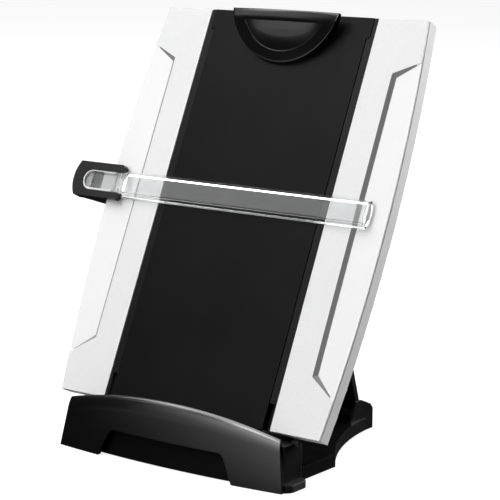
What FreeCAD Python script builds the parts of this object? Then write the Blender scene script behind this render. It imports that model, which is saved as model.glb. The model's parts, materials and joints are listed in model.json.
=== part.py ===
import FreeCAD, Part
import Sketcher
import math
import os
from FreeCAD import Placement, Rotation, Vector

# Desktop copy holder: a board that leans back on an easel strut in a moulded base, with a
# sprung paper clip on a sliding centre panel and a clear line guide on the left edge.
#
# Frame: +X to the reader's right, +Y away from the reader, +Z up, millimetres. The origin is on
# the desk under the middle of the base's front rubber strip.
# Board frame: x across, s up along the board from its bottom edge, n out of its front face.

doc = FreeCAD.newDocument("copy_holder")
sheet = doc.addObject("Spreadsheet::Sheet", "sizes")
pieces = []


# ---------------------------------------------------------------- sizes and formulas

class Size:
    """A number together with the sheet formula that gives it."""

    def __init__(self, value, formula):
        self.value = value
        self.formula = formula

    def __add__(self, other):
        other = as_size(other)
        return Size(self.value + other.value, f"({self.formula} + {other.formula})")

    def __sub__(self, other):
        other = as_size(other)
        return Size(self.value - other.value, f"({self.formula} - {other.formula})")

    def __mul__(self, other):
        other = as_size(other)
        return Size(self.value * other.value, f"({self.formula} * {other.formula})")

    def __truediv__(self, other):
        other = as_size(other)
        return Size(self.value / other.value, f"({self.formula} / {other.formula})")

    def __neg__(self):
        return Size(-self.value, f"(0 - {self.formula})")

    def __radd__(self, other):
        return as_size(other) + self

    def __rsub__(self, other):
        return as_size(other) - self

    def __rmul__(self, other):
        return as_size(other) * self


def as_size(number):
    if isinstance(number, Size):
        return number
    text = repr(float(number))
    return Size(float(number), f"({text})" if number < 0 else text)


def sine(angle):
    return Size(math.sin(math.radians(angle.value)), f"sin({angle.formula})")


def cosine(angle):
    return Size(math.cos(math.radians(angle.value)), f"cos({angle.formula})")


def root(area):
    return Size(math.sqrt(area.value), f"sqrt({area.formula})")


def direction(rise, run):
    """The angle in degrees of a line with this rise and run."""
    degrees = math.degrees(math.atan2(rise.value, run.value))
    return Size(degrees, f"(atan2({rise.formula}; {run.formula}) / 1deg)")


def size(alias, value, note):
    """Writes one driving dimension into the sheet."""
    size.row += 1
    sheet.set(f"A{size.row}", alias)
    sheet.set(f"B{size.row}", str(value))
    sheet.setAlias(f"B{size.row}", alias)
    sheet.set(f"C{size.row}", note)
    return Size(float(value), f"sizes.{alias}")


size.row = 0

# general clearances
gap = size("gap", 0.3, "clearance between fixed neighbours")
run_fit = size("run_fit", 0.05, "radial clearance of a turning pin")
screw_radius = size("screw_radius", 1.4, "shank of the case screws")
screw_head = size("screw_head", 3.0, "radius of the screw heads")
screw_head_height = size("screw_head_height", 1.6, "height of the screw heads")
screw_clear = size("screw_clear", 0.2, "clearance round a screw's shank")
screw_end = size("screw_end", 0.4, "clearance past a screw's end")
overcut = size("overcut", 1, "how far cutting outlines run past a piece")
merge = size("merge", 0.5, "how far a rib or lug runs into the wall that it grows from")

# board
lean = size("lean", 25.1, "board's lean back from upright, degrees")
board_front = size("board_front", 9.6, "y of the board's bottom front edge")
board_low = size("board_low", 38.2, "z of the board's bottom front edge")
board_height = size("board_height", 326.6, "length of the board's face")
corner_half = size("corner_half", 125, "half width at the board's corners")
middle_half = size("middle_half", 134, "half width where the sides bulge most")
board_depth = size("board_depth", 13, "board's whole thickness")
shell_wall = size("shell_wall", 2.2, "wall of the back shell")
wing_edge = size("wing_edge", 1.6, "thickness of a wing at its rim")
wing_body = size("wing_body", 4.6, "thickness of a wing inside the shell")
centre_half = size("centre_half", 80, "half width of the black centre")
fold_line = size("fold_line", 104.5, "x of the fold in a wing")
fold_depth = size("fold_depth", 3, "depth of the sunk band at the fold")
fold_slope = size("fold_slope", 2, "width of the fold's sloping wall")
fold_low = size("fold_low", 45.5, "where the fold starts")
fold_margin = size("fold_margin", 43.6, "from the fold's upper end to the board's top")
fold_run_low = size("fold_run_low", 19.5, "how far its lower end drops out to the edge")
fold_run_high = size("fold_run_high", 13, "how far its upper end rises out to the edge")
boss_radius = size("boss_radius", 3.6, "screw bosses of the wings")
boss_line = size("boss_line", 100, "x of the wing bosses")
boss_low = size("boss_low", 45, "lowest wing boss")
boss_margin = size("boss_margin", 36.6, "from the highest wing boss to the board's top")
boss_floor = size("boss_floor", 0.8, "depth of the boss holes inside the wing")

# centre frame and sliding panel
frame_floor = size("frame_floor", 1.4, "floor thickness of the centre frame")
frame_back = size("frame_back", 6.2, "depth of the frame's back face")
rail_front = size("rail_front", 0.4, "how far the rails lie below the front")
rail_half = size("rail_half", 73.7, "inner edge of the rails")
rail_start = size("rail_start", 20.5, "lower end of the rails")
ear_height = size("ear_height", 16.9, "height of the panel's ears, from the rails to the top")
ear_half = size("ear_half", 76.2, "half width of the panel's ears")
lip = size("lip", 1.1, "thickness of the rail's front lip")
panel_depth = size("panel_depth", 3.1, "thickness of the centre panel")
tongue = size("tongue", 1.2, "thickness of the panel's side tongues")
slide_fit = size("slide_fit", 0.4, "clearance of the sliding panel")
memo_half = size("memo_half", 65.5, "half width of the memo board")
memo_depth = size("memo_depth", 1.2, "thickness of the memo board")
memo_low = size("memo_low", 6, "lower edge of the memo board")
memo_margin = size("memo_margin", 4, "from the memo board to the rails' ends")
strip_width = size("strip_width", 5, "width of the friction strips")
strip_gap = size("strip_gap", 1, "from the memo board to the friction strips")
strip_low = size("strip_low", 120, "lower end of the friction strips")
strip_margin = size("strip_margin", 10, "from the friction strips to the rails' ends")
strip_clear = size("strip_clear", 0.2, "clearance between the strips and the panel")

# base
skirt_front = size("skirt_front", -12, "y of the skirt's bottom end corners")
skirt_overhang = size("skirt_overhang", 7.25, "how far the skirt passes the tray at the desk")
skirt_taper = size("skirt_taper", 6.25, "how much narrower its ends are at the top")
skirt_end = size("skirt_end", 38.7, "height of the skirt's ends")
skirt_peak = size("skirt_peak", 51, "height of the skirt's middle")
skirt_bow = size("skirt_bow", 7, "how far the skirt bows forward")
skirt_lean = size("skirt_lean", 5.4, "how far its ends lean back")
skirt_wall = size("skirt_wall", 3, "thickness of the skirt")
skirt_low = size("skirt_low", 0.4, "lower rim of the skirt above the desk")
cutout_half = size("cutout_half", 64.5, "half width of the cut-out at the desk")
cutout_top = size("cutout_top", 56, "half width of the cut-out's top")
cutout_height = size("cutout_height", 22, "height of the cut-out")
cutout_round = size("cutout_round", 5, "rounding of the cut-out's corners")
recess_wall = size("recess_wall", 2, "thickness of the recess panel")
recess_depth = size("recess_depth", 2.6, "from the skirt's back to the recess panel")
recess_slope = size("recess_slope", 0.5, "how far the recess panel's top leans in")
recess_height = size("recess_height", 27, "top of the recess panel")
recess_margin = size("recess_margin", 3.5, "overlap of the recess panel behind the skirt")
tray_half = size("tray_half", 100, "half width of the tray")
tray_front = size("tray_front", -6.5, "front edge of the tray")
tray_side = size("tray_side", 67.6, "y where the straight sides end")
tray_waist_half = size("tray_waist_half", 76.5, "half width half way along the curved sides")
tray_waist = size("tray_waist", 109, "y of that point")
tail_half = size("tail_half", 61.2, "half width of the tail")
tail_start = size("tail_start", 3, "where the curved sides end, behind the strut's foot")
tail_end = size("tail_end", 11.7, "the tail's end, behind the strut's foot")
tray_low = size("tray_low", 1, "underside of the tray")
tray_top = size("tray_top", 11, "top of the tray")
tray_wall = size("tray_wall", 2.5, "walls of the tray")
rib = size("rib", 1.8, "thickness of the tray's ribs")
rib_line = size("rib_line", 38, "x of the long ribs")
catch_height = size("catch_height", 21.7, "height of the catch at the tail")
cheek_height = size("cheek_height", 26.9, "height of the catch's cheeks")
cheek_wall = size("cheek_wall", 2.2, "thickness of the cheeks")
cheek_front = size("cheek_front", 20, "front of the cheeks, ahead of the strut's foot")
cheek_rise = size("cheek_rise", 12, "front of their top, ahead of the strut's foot")
cheek_fall = size("cheek_fall", 4, "back of their top, ahead of the strut's foot")
catch_bevel = size("catch_bevel", 3.5, "depth of the bevel at the catch's top")
catch_bevel_height = size("catch_bevel_height", 4, "height of that bevel")
catch_clear = size("catch_clear", 4.5, "clearance between the foot pad and the catch")
catch_hollow = size("catch_hollow", 1.6, "hollow of the catch's face")
catch_hollow_height = size("catch_hollow_height", 4, "height of that hollow over the tray")
catch_toe = size("catch_toe", 4.2, "the catch's toe, behind the strut's foot")
groove_depth = size("groove_depth", 1, "depth of the rest grooves in the tray")
groove_width = size("groove_width", 8, "width of the rest grooves")
groove_step = size("groove_step", 20, "distance between the rest grooves")
post_seat = size("post_seat", 4, "width of the hinge posts that stands on the tray")
post_overhang = size("post_overhang", 4.3, "how far the posts pass the tray")
post_low = size("post_low", 6, "underside of the posts outside the tray")
post_top = size("post_top", 33.5, "top of the posts, level with the ledge")
post_rest = size("post_rest", 30.8, "lower step of the posts under the board")
post_step = size("post_step", 7, "y where the posts step down")
post_slope = size("post_slope", 3, "run of that step")
post_back = size("post_back", 21.5, "back of the posts")
post_round = size("post_round", 6, "rounding of the posts' rear corner")
foot_reach = size("foot_reach", 11, "how far the front feet pass the tray")
foot_front = size("foot_front", -8.4, "front edge of the feet")
foot_back = size("foot_back", 18, "back edge of the feet")
foot_round = size("foot_round", 7, "corner rounding of the feet")
foot_edge = size("foot_edge", 1.5, "rounding of the feet's upper edge")
ledge_wall = size("ledge_wall", 3, "thickness of the ledge")
ledge_back = size("ledge_back", 10, "back of the ledge")
ledge_web = size("ledge_web", 2, "thickness of the wall and the ribs under the ledge")
ledge_rib = size("ledge_rib", 10, "depth of the ribs under the ledge")
strip_half = size("strip_half", 70, "half length of the front rubber strip")
rubber_seat = size("rubber_seat", 8, "width of the rubber strips' seats")
rubber_inset = size("rubber_inset", 0.5, "from a seat's edge to its rubber strip")
rubber_margin = size("rubber_margin", 8, "from the tail's side to the rear rubber strip")

# hinge at the board's foot
hinge_drop = size("hinge_drop", 8, "hinge axis below the board's bottom edge, along it")
hinge_back = size("hinge_back", 11.5, "hinge axis behind the board's front face")
hinge_radius = size("hinge_radius", 2, "radius of the hinge pins")
arm_fit = size("arm_fit", 0.6, "clearance between the hinge arms and the posts")
arm_width = size("arm_width", 11.4, "width of the hinge arms")
arm_eye = size("arm_eye", 5.3, "radius of the hinge arms' eyes")
arm_plate = size("arm_plate", 4.5, "thickness of the arms' plates")
arm_length = size("arm_length", 32, "how far the arms reach up the board")
arm_bevel = size("arm_bevel", 2, "height of the bevel at the arms' upper ends")
arm_bevel_run = size("arm_bevel_run", 6, "length of that bevel")
arm_root = size("arm_root", 2, "where the eyes run into the arms' plates")
pin_proud = size("pin_proud", 1, "how far the hinge pins pass the arms")
pin_wall = size("pin_wall", 2, "wall of the posts past the pins' ends")

# strut
strut_pivot = size("strut_pivot", 203, "strut's pivot up along the board")
strut_back = size("strut_back", 20.5, "strut's pivot behind the board's front face")
strut_foot = size("strut_foot", 166, "y of the strut's foot")
foot_clear = size("foot_clear", 0.6, "clearance of the foot over the tray")
pad_radius = size("pad_radius", 3.2, "radius of the rubber foot pad")
strut_top_half = size("strut_top_half", 47.6, "half width of the strut at its pivot")
strut_half = size("strut_half", 56, "half width of the strut at its foot")
strut_thick = size("strut_thick", 5, "thickness of the strut")
strut_web = size("strut_web", 2.6, "web left in the strut's panels")
strut_border = size("strut_border", 9, "border round the strut's panels")
barrel_radius = size("barrel_radius", 4.5, "radius of the strut's barrel")
barrel_neck = size("barrel_neck", 4, "length of the strut's straight sides at the barrel")
pad_cap = size("pad_cap", 3, "how far the foot pad laps up the strut")
bracket_wall = size("bracket_wall", 4, "thickness of the bracket's ears")
bracket_plate = size("bracket_plate", 2, "thickness of the bracket's plate")
bracket_reach = size("bracket_reach", 9, "half height of the bracket's plate")
bracket_margin = size("bracket_margin", 2, "plate left outside the bracket's ears")
bracket_root = size("bracket_root", 7, "half width of the ears at the plate")
bracket_screw = size("bracket_screw", 6, "from the pivot to the bracket's screws")
bracket_screw_head = size("bracket_screw_head", 2.4, "radius of the bracket's screw heads")
bracket_screw_height = size("bracket_screw_height", 0.8, "height of those heads")

# line guide
slider_middle = size("slider_middle", 172.1, "middle of the slider up the board")
slider_half = size("slider_half", 14.5, "half height of the slider")
slider_left = size("slider_left", 165.2, "x of the slider's left corners")
slider_bulge = size("slider_bulge", 4.3, "bulge of its left end")
slider_tip = size("slider_tip", 119, "x of the fork's tips")
slider_bevel = size("slider_bevel", 2, "bevel of the fork's outer tips")
slider_front = size("slider_front", 6, "front face of the slider")
slider_side = size("slider_side", 3.4, "how far the slider's left end reaches behind the board's face")
press_room = size("press_room", 2.6, "depth of the thumb tab's room behind the board's face")
screw_skin = size("screw_skin", 1.2, "plastic left over the ends of the slider's screws")
slider_lift = size("slider_lift", 0.4, "clearance between the slider and the board")
fork_half = size("fork_half", 8.6, "half width of the fork's opening")
fork_end = size("fork_end", 159.5, "x of the fork's round end")
web_inner = size("web_inner", 135, "inner face of the slider beside the board's edge")
jaw_split = size("jaw_split", 8, "depth of the joint between housing and jaw")
jaw_cover = size("jaw_cover", 2.7, "thickness of the jaw behind the guide rail")
jaw_left = size("jaw_left", 160.3, "left corner of the jaw at the joint")
jaw_bevel = size("jaw_bevel", 12, "bevel of the jaw's left side")
jaw_wall = size("jaw_wall", 3, "wall of the jaw beside the rail")
jaw_inset = size("jaw_inset", 0.5, "how far the jaw and the web lie inside the slider's ends")
slider_screw = size("slider_screw", 142, "x of the slider's screws")
rail_outer = size("rail_outer", 121, "outer edge of the guide rail")
rail_inner = size("rail_inner", 113, "inner edge of the guide rail")
rail_height = size("rail_height", 3, "height of the guide rail")
rail_low = size("rail_low", 20, "lower end of the guide rail")
rail_margin = size("rail_margin", 20.6, "from the guide rail's upper end to the board's top")
leaf_thick = size("leaf_thick", 0.4, "thickness of the leaf spring")
leaf_rise = size("leaf_rise", 0.9, "height of the leaf spring's bow")
leaf_half = size("leaf_half", 7, "half length of the leaf spring")
leaf_inset = size("leaf_inset", 1.5, "from the rail's edges to the leaf spring's")
leaf_fit = size("leaf_fit", 0.1, "clearance between the leaf spring and the rail")
nest_margin = size("nest_margin", 1, "room round the leaf spring in its nest")
bar_drop = size("bar_drop", 0.5, "middle of the guide bar and the fork below the slider's middle")
bar_front_half = size("bar_front_half", 8.5, "half height of the bar's front face")
bar_back_half = size("bar_back_half", 11.2, "half height of the bar's open back")
bar_back = size("bar_back", 1, "height of the bar's back edges over the board")
bar_front = size("bar_front", 5.5, "height of the bar's front face over the board")
bar_wall = size("bar_wall", 1.6, "wall of the guide bar")
bar_left = size("bar_left", 118.5, "left end of the bar's channel")
bar_right = size("bar_right", 119.5, "right end of the bar at its middle")
bar_end_bow = size("bar_end_bow", 2.7, "bow of the bar's right end")
bar_end_bevel = size("bar_end_bevel", 3, "width of the bevel at the bar's right end")
bar_lip = size("bar_lip", 0.8, "upright lip left below that bevel")
tab_half = size("tab_half", 8.2, "half width of the thumb tab")
tab_end = size("tab_end", 159, "x of the thumb tab's round end")
tab_back = size("tab_back", 1.8, "underside of the thumb tab")
tab_floor = size("tab_floor", 2.3, "floor of the thumb tab")
tab_front = size("tab_front", 5.7, "rim of the thumb tab")
tab_rim = size("tab_rim", 1.6, "rim width of the thumb tab")
pin_land = size("pin_land", 2, "solid left between the tab's well and the pins")
guide_pivot = size("guide_pivot", 121.5, "x of the guide bar's pivot")
guide_height = size("guide_height", 3.5, "height of the pivot over the board")
guide_pin = size("guide_pin", 0.9, "radius of the guide pins")
guide_pin_depth = size("guide_pin_depth", 3.5, "how far the pins enter the tab")
guide_pin_inset = size("guide_pin_inset", 0.4, "how far their outer ends lie inside the slider")

# paper clip
clip_margin = size("clip_margin", 2, "from the clip's top edge to the board's top")
clip_half = size("clip_half", 51, "half width of the clip")
clip_height = size("clip_height", 40.5, "height of the clip's half disc")
clip_high = size("clip_high", 12.3, "height of the clip's top edge")
clip_low = size("clip_low", 4, "height of the clip's lower rim")
clip_back = size("clip_back", 0.6, "clearance under the clip's rim")
clip_relief = size("clip_relief", 9.6, "cut-back under the clip's top edge")
clip_relief_run = size("clip_relief_run", 19, "height of that cut-back")
clip_wall = size("clip_wall", 1.8, "wall of the clip")
dish_half = size("dish_half", 38, "half width of the thumb dish in the clip")
dish_low = size("dish_low", 8.6, "from the clip's tip to the dish")
dish_high = size("dish_high", 8, "from the dish to the clip's top edge")
dish_depth = size("dish_depth", 0.8, "depth of the dish")
clip_axis_drop = size("clip_axis_drop", 15.5, "clip's hinge below its top edge")
clip_axis_height = size("clip_axis_height", 4.4, "clip's hinge over the board")
clip_pin = size("clip_pin", 1.25, "radius of the clip's pin")
clip_eye = size("clip_eye", 2.6, "radius of the clip's eyes")
clip_plate = size("clip_plate", 1.4, "thickness of the clip bracket's plate")
clip_lug = size("clip_lug", 9, "inner face of the lever's lugs")
clip_lug_width = size("clip_lug_width", 3, "width of the lever's lugs")
clip_ear = size("clip_ear", 12.5, "inner face of the bracket's ears")
clip_ear_width = size("clip_ear_width", 2.5, "width of the bracket's ears")
clip_ear_root = size("clip_ear_root", 5, "half width of those ears at the plate")
clip_plate_half = size("clip_plate_half", 9, "half height of the bracket's plate")
clip_plate_margin = size("clip_plate_margin", 5, "plate left outside the ears")
spring_wire = size("spring_wire", 0.8, "wire of the clip spring")
spring_half = size("spring_half", 6.5, "half length of the spring's coil")
spring_fit = size("spring_fit", 0.15, "radial clearance of the coil round the pin")
spring_leg = size("spring_leg", 8, "reach of the spring's leg from the hinge")
spring_root = size("spring_root", 1, "where the leg leaves the coil")
spring_bend = size("spring_bend", 0.6, "rise of the leg into the coil")
clip_pad_half = size("clip_pad_half", 12, "half length of the clip's rubber pad")
clip_pad_start = size("clip_pad_start", 4.3, "from the clip's tip to the rubber pad")
clip_pad_width = size("clip_pad_width", 4.7, "width of the rubber pad")

doc.recompute()

zero = as_size(0)
half_turn_share = math.cos(math.radians(45))
lean_sine = sine(lean)
lean_cosine = cosine(lean)
board_turn = 90 - lean

# places that follow from the sizes above
board_middle = board_height / 2
fold_high = board_height - fold_margin
boss_high = board_height - boss_margin
rail_end = board_height - ear_height
rail_high = board_height - rail_margin
skirt_half = tray_half + skirt_overhang
skirt_top_half = skirt_half - skirt_taper
skirt_slant = skirt_lean / skirt_end
tail_curve = strut_foot + tail_start
tail_back = strut_foot + tail_end
post_inner = tray_half - post_seat
post_outer = tray_half + post_overhang
foot_outer = tray_half + foot_reach
arm_outer = post_inner - arm_fit
arm_inner = arm_outer - arm_width
bracket_half = strut_top_half + gap + bracket_wall
bar_middle = slider_middle - bar_drop
jaw_depth = board_depth + rail_height + gap + jaw_cover
clip_top = board_height - clip_margin
clip_tip = clip_top - clip_height
clip_axis = clip_top - clip_axis_drop
clip_rise = (clip_high - clip_low) / clip_height
clip_ears = clip_ear + clip_ear_width


def board_point(up, out):
    """The y and z of a point at this distance up the board and out of its face."""
    y = board_front + up * lean_sine - out * lean_cosine
    z = board_low + up * lean_cosine + out * lean_sine
    return y, z


hinge_y, hinge_z = board_point(-hinge_drop, -hinge_back)
strut_y, strut_z = board_point(strut_pivot, -strut_back)
strut_foot_z = tray_top + foot_clear + pad_radius
strut_run = strut_y - strut_foot
strut_rise = strut_z - strut_foot_z
strut_length = root(strut_run * strut_run + strut_rise * strut_rise)
strut_turn = direction(strut_rise, strut_run)


# ---------------------------------------------------------------- drawing helpers

class Via:
    """A point that the arc between its two neighbours passes through."""

    def __init__(self, x, y):
        self.point = (as_size(x), as_size(y))


def vector(point):
    return Vector(point[0].value, point[1].value, 0)


def fix_point(sketch, geometry, end, point):
    """Ties a sketch point to its place by the formulas of its coordinates."""
    for kind, axis, coordinate in (("DistanceX", -2, point[0]), ("DistanceY", -1, point[1])):
        if coordinate.value == 0:
            sketch.addConstraint(Sketcher.Constraint("PointOnObject", geometry, end, axis))
            continue
        rule = Sketcher.Constraint(kind, -1, 1, geometry, end, coordinate.value)
        index = sketch.addConstraint(rule)
        sketch.setExpression(f"Constraints[{index}]", coordinate.formula)


def draw_loop(sketch, points):
    """Draws a closed outline of straight edges and of arcs through Via points."""
    points = [p if isinstance(p, Via) else (as_size(p[0]), as_size(p[1])) for p in points]
    corners = [i for i, p in enumerate(points) if not isinstance(p, Via)]
    joins = []
    for place, first in enumerate(corners):
        last = corners[(place + 1) % len(corners)]
        start, end = points[first], points[last]
        between = points[first + 1] if first + 1 < len(points) else start
        if isinstance(between, Via):
            middle = vector(between.point)
            turn = (middle - vector(start)).cross(vector(end) - middle).z
            forward = turn > 0
            first_end, last_end = (start, end) if forward else (end, start)
            arc = Part.Arc(vector(first_end), middle, vector(last_end))
            geometry = sketch.addGeometry(arc, False)
            helper = sketch.addGeometry(Part.Point(middle), True)
            fix_point(sketch, helper, 1, between.point)
            sketch.addConstraint(Sketcher.Constraint("PointOnObject", helper, 1, geometry))
        else:
            geometry = sketch.addGeometry(Part.LineSegment(vector(start), vector(end)), False)
            forward = True
        ends = (1, 2) if forward else (2, 1)
        fix_point(sketch, geometry, ends[0], start)
        joins.append((geometry, ends))
    for place, (geometry, ends) in enumerate(joins):
        following, following_ends = joins[(place + 1) % len(joins)]
        rule = Sketcher.Constraint("Coincident", geometry, ends[1], following, following_ends[0])
        sketch.addConstraint(rule)


def draw_circle(sketch, x, y, radius):
    centre = (as_size(x), as_size(y))
    radius = as_size(radius)
    circle = Part.Circle(vector(centre), Vector(0, 0, 1), radius.value)
    geometry = sketch.addGeometry(circle, False)
    fix_point(sketch, geometry, 3, centre)
    index = sketch.addConstraint(Sketcher.Constraint("Radius", geometry, radius.value))
    sketch.setExpression(f"Constraints[{index}]", radius.formula)


def rectangle(x_low, x_high, y_low, y_high):
    return [(x_low, y_low), (x_high, y_low), (x_high, y_high), (x_low, y_high)]


def make_sketch(body, role, offset, loops):
    """Draws loops, or (x, y, radius) circles, on one of the body's origin planes."""
    offset = as_size(offset)
    sketch = body.newObject("Sketcher::SketchObject", "outline")
    plane = [f for f in body.Origin.OriginFeatures if f.Role == role][0]
    sketch.AttachmentSupport = [(plane, "")]
    sketch.MapMode = "FlatFace"
    sketch.AttachmentOffset = Placement(Vector(0, 0, offset.value), Rotation())
    sketch.setExpression("AttachmentOffset.Base.z", offset.formula)
    for loop in loops:
        if isinstance(loop, tuple):
            draw_circle(sketch, *loop)
        else:
            draw_loop(sketch, loop)
    return sketch


def extrude(body, kind, role, low, high, *loops):
    """Pads or pockets loops from low to high along the axis square to the plane."""
    low, high = as_size(low), as_size(high)
    offset = -high if role == "XZ_Plane" else low
    sketch = make_sketch(body, role, offset, loops)
    before = body.Shape.Volume if body.Tip else 0
    feature = body.newObject(f"PartDesign::{kind}", kind.lower())
    feature.Profile = sketch
    feature.setExpression("Length", (high - low).formula)
    feature.Reversed = kind == "Pocket"
    doc.recompute()
    if kind == "Pocket" and not body.Shape.Volume < before - 1e-6:
        raise RuntimeError(f"a pocket of {body.Label} cuts nothing")
    return feature


def pad(body, role, low, high, *loops):
    return extrude(body, "Pad", role, low, high, *loops)


def pocket(body, role, low, high, *loops):
    return extrude(body, "Pocket", role, low, high, *loops)


def round_edges(body, radius, wanted):
    """Fillets the edges of the body's last feature that the test picks."""
    doc.recompute()
    last = body.Tip
    names = [f"Edge{i + 1}" for i, edge in enumerate(last.Shape.Edges) if wanted(edge)]
    if not names:
        raise RuntimeError(f"no edge to round on {body.Label}")
    fillet = body.newObject("PartDesign::Fillet", "fillet")
    fillet.Base = (last, names)
    fillet.setExpression("Radius", as_size(radius).formula)
    doc.recompute()


def loft(body, *sections):
    """Lofts between loops that are drawn at different heights."""
    sketches = [make_sketch(body, "XY_Plane", height, [loop]) for height, loop in sections]
    feature = body.newObject("PartDesign::AdditiveLoft", "loft")
    feature.Profile = sketches[0]
    feature.Sections = sketches[1:]
    feature.Ruled = True
    doc.recompute()


def new_body(label):
    body = doc.addObject("PartDesign::Body", label)
    body.Label = label
    pieces.append(body)
    return body


def place(piece, y, z, turn):
    """Puts a piece's own frame at y, z, turned about X."""
    turn = as_size(turn)
    rotation = Rotation(Vector(1, 0, 0), turn.value)
    piece.Placement = Placement(Vector(0, y.value, z.value), rotation)
    piece.setExpression("Placement.Base.y", y.formula)
    piece.setExpression("Placement.Base.z", z.formula)
    piece.setExpression("Placement.Rotation.Angle", turn.formula)


def on_board(label):
    """A new body drawn in the board's frame."""
    body = new_body(label)
    place(body, board_front, board_low, board_turn)
    return body


def sides():
    """The names and signs of the two sides."""
    return (("left", -1), ("right", 1))


def span(sign, inner, outer):
    """An x range on one side, lowest value first."""
    return (inner, outer) if sign > 0 else (-outer, -inner)


def board_outline(inset):
    """The board's front outline with bulging sides, moved in by an inset."""
    corner = corner_half - inset
    middle = middle_half - inset
    top = board_height - inset
    return [
        (-corner, inset), (corner, inset), Via(middle, board_middle), (corner, top),
        (-corner, top), Via(-middle, board_middle),
    ]


def screw_places():
    """The x and s of the screws that hold the wings to the back shell."""
    heights = (boss_low, (boss_low + boss_high) / 2, boss_high)
    return [(sign * boss_line, height) for sign in (-1, 1) for height in heights]


# ---------------------------------------------------------------- base

def skirt_strip(height, front, back, half):
    """A bowed strip across the base at one height, between two depths behind the skirt's face."""
    shift = skirt_front + skirt_slant * height
    near_half = half - skirt_taper / skirt_end * height
    return [
        (-near_half, shift + front), Via(zero, shift + front - skirt_bow),
        (near_half, shift + front), (near_half, shift + back),
        Via(zero, shift + back - skirt_bow), (-near_half, shift + back),
    ]


def make_skirt():
    body = new_body("front_skirt")
    high = skirt_peak + overcut
    loft(
        body,
        (skirt_low, skirt_strip(skirt_low, zero, skirt_wall, skirt_half)),
        (high, skirt_strip(high, zero, skirt_wall, skirt_half)),
    )
    near = skirt_front - skirt_bow - skirt_wall
    far = skirt_front + skirt_slant * high + skirt_wall + overcut
    wide = skirt_half + overcut
    crown = [
        (-skirt_top_half, skirt_end), Via(zero, skirt_peak), (skirt_top_half, skirt_end),
        (wide, skirt_end), (wide, high + overcut), (-wide, high + overcut), (-wide, skirt_end),
    ]
    pocket(body, "XZ_Plane", near, far, crown)
    flare = (cutout_half - cutout_top) / cutout_height * cutout_round
    start = cutout_height - cutout_round
    bend_x = cutout_top - cutout_round * (1 - half_turn_share) + flare / 2
    bend_z = cutout_height - cutout_round * (1 - half_turn_share)
    level = cutout_top - cutout_round
    cutout = [
        (cutout_half, zero), (cutout_top + flare, start), Via(bend_x, bend_z),
        (level, cutout_height), (-level, cutout_height), Via(-bend_x, bend_z),
        (-cutout_top - flare, start), (-cutout_half, zero),
    ]
    pocket(body, "XZ_Plane", near, far, cutout)


def bow_at(x, height):
    """How far the skirt's faces bow forward of their ends at this x and height."""
    half = skirt_half - skirt_taper / skirt_end * height
    return skirt_bow * (1 - x * x / (half * half))


def make_recess_panel():
    body = new_body("recess_panel")
    low = tray_low
    near = skirt_wall + recess_depth
    loft(
        body,
        (low, recess_strip(low, near)),
        (recess_height, recess_strip(recess_height, near + recess_slope)),
    )


def recess_strip(height, near):
    """The recess panel's section: a plate with the skirt's bow, and side walls up to the skirt."""
    face = skirt_front + skirt_slant * height
    half = cutout_half + recess_margin
    inner = half - recess_wall
    crown = face + near - skirt_bow
    corner = face + near - bow_at(inner, height)
    edge = face + skirt_wall + gap - bow_at(inner, height)
    back = face + near + recess_wall - bow_at(half, height)
    return [
        (-half, edge), (-inner, edge), (-inner, corner), Via(zero, crown), (inner, corner),
        (inner, edge), (half, edge), (half, back), Via(zero, crown + recess_wall), (-half, back),
    ]


def tray_outline(inset):
    """The tray's plan, moved in by an inset."""
    return [
        (inset - tray_half, tray_front + inset), (tray_half - inset, tray_front + inset),
        (tray_half - inset, tray_side), Via(tray_waist_half - inset, tray_waist),
        (tail_half - inset, tail_curve), (tail_half - inset, tail_back - inset),
        (inset - tail_half, tail_back - inset), (inset - tail_half, tail_curve),
        Via(inset - tray_waist_half, tray_waist), (inset - tray_half, tray_side),
    ]


def make_tray():
    body = new_body("base_tray")
    ceiling = tray_top - tray_wall
    pad(body, "XY_Plane", tray_low, tray_top, tray_outline(zero))
    pocket(body, "XY_Plane", tray_low, ceiling, tray_outline(tray_wall))
    inside = tray_front + tray_wall / 2
    for sign in (-1, 1):
        low, high = span(sign, rib_line, rib_line + rib)
        back = tail_back - tray_wall / 2
        pad(body, "XY_Plane", tray_low, ceiling + merge, rectangle(low, high, inside, back))
    reach = tray_half - tray_wall / 2
    pad(
        body, "XY_Plane", tray_low, ceiling + merge,
        rectangle(-reach, reach, rubber_seat, rubber_seat + rib),
    )
    seat = tail_half - tray_wall / 2
    pad(
        body, "XY_Plane", tray_low, ceiling + merge,
        rectangle(-reach, reach, -rubber_seat / 2, rubber_seat / 2),
        rectangle(-seat, seat, tail_back - rubber_seat, tail_back - tray_wall / 2),
    )
    root_z = tray_top - merge
    bevel_z = catch_height - catch_bevel_height
    for sign in (-1, 1):
        low, high = span(sign, tail_half - cheek_wall, tail_half)
        cheek = [
            (strut_foot - cheek_front, root_z), (strut_foot - cheek_rise, cheek_height),
            (strut_foot - cheek_fall, cheek_height), (tail_back - catch_bevel, catch_height),
            (tail_back, bevel_z), (tail_back, root_z),
        ]
        pad(body, "YZ_Plane", low, high, cheek)
    catch_face = strut_foot + pad_radius + catch_clear
    toe = strut_foot + catch_toe
    catch = [
        (tail_back, root_z), (tail_back, bevel_z), (tail_back - catch_bevel, catch_height),
        (catch_face, catch_height), Via(catch_face - catch_hollow, tray_top + catch_hollow_height),
        (toe, tray_top), (toe, root_z),
    ]
    pad(body, "YZ_Plane", -tail_half, tail_half, catch)
    grooves = []
    for step in (1, 2):
        middle = strut_foot - groove_step * step
        grooves.append(
            [
                (middle - groove_width / 2, tray_top + overcut),
                (middle - groove_width / 2, tray_top), Via(middle, tray_top - groove_depth),
                (middle + groove_width / 2, tray_top),
                (middle + groove_width / 2, tray_top + overcut),
            ]
        )
    groove_half = tail_half - cheek_wall
    pocket(body, "YZ_Plane", -groove_half, groove_half, *grooves)


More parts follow.
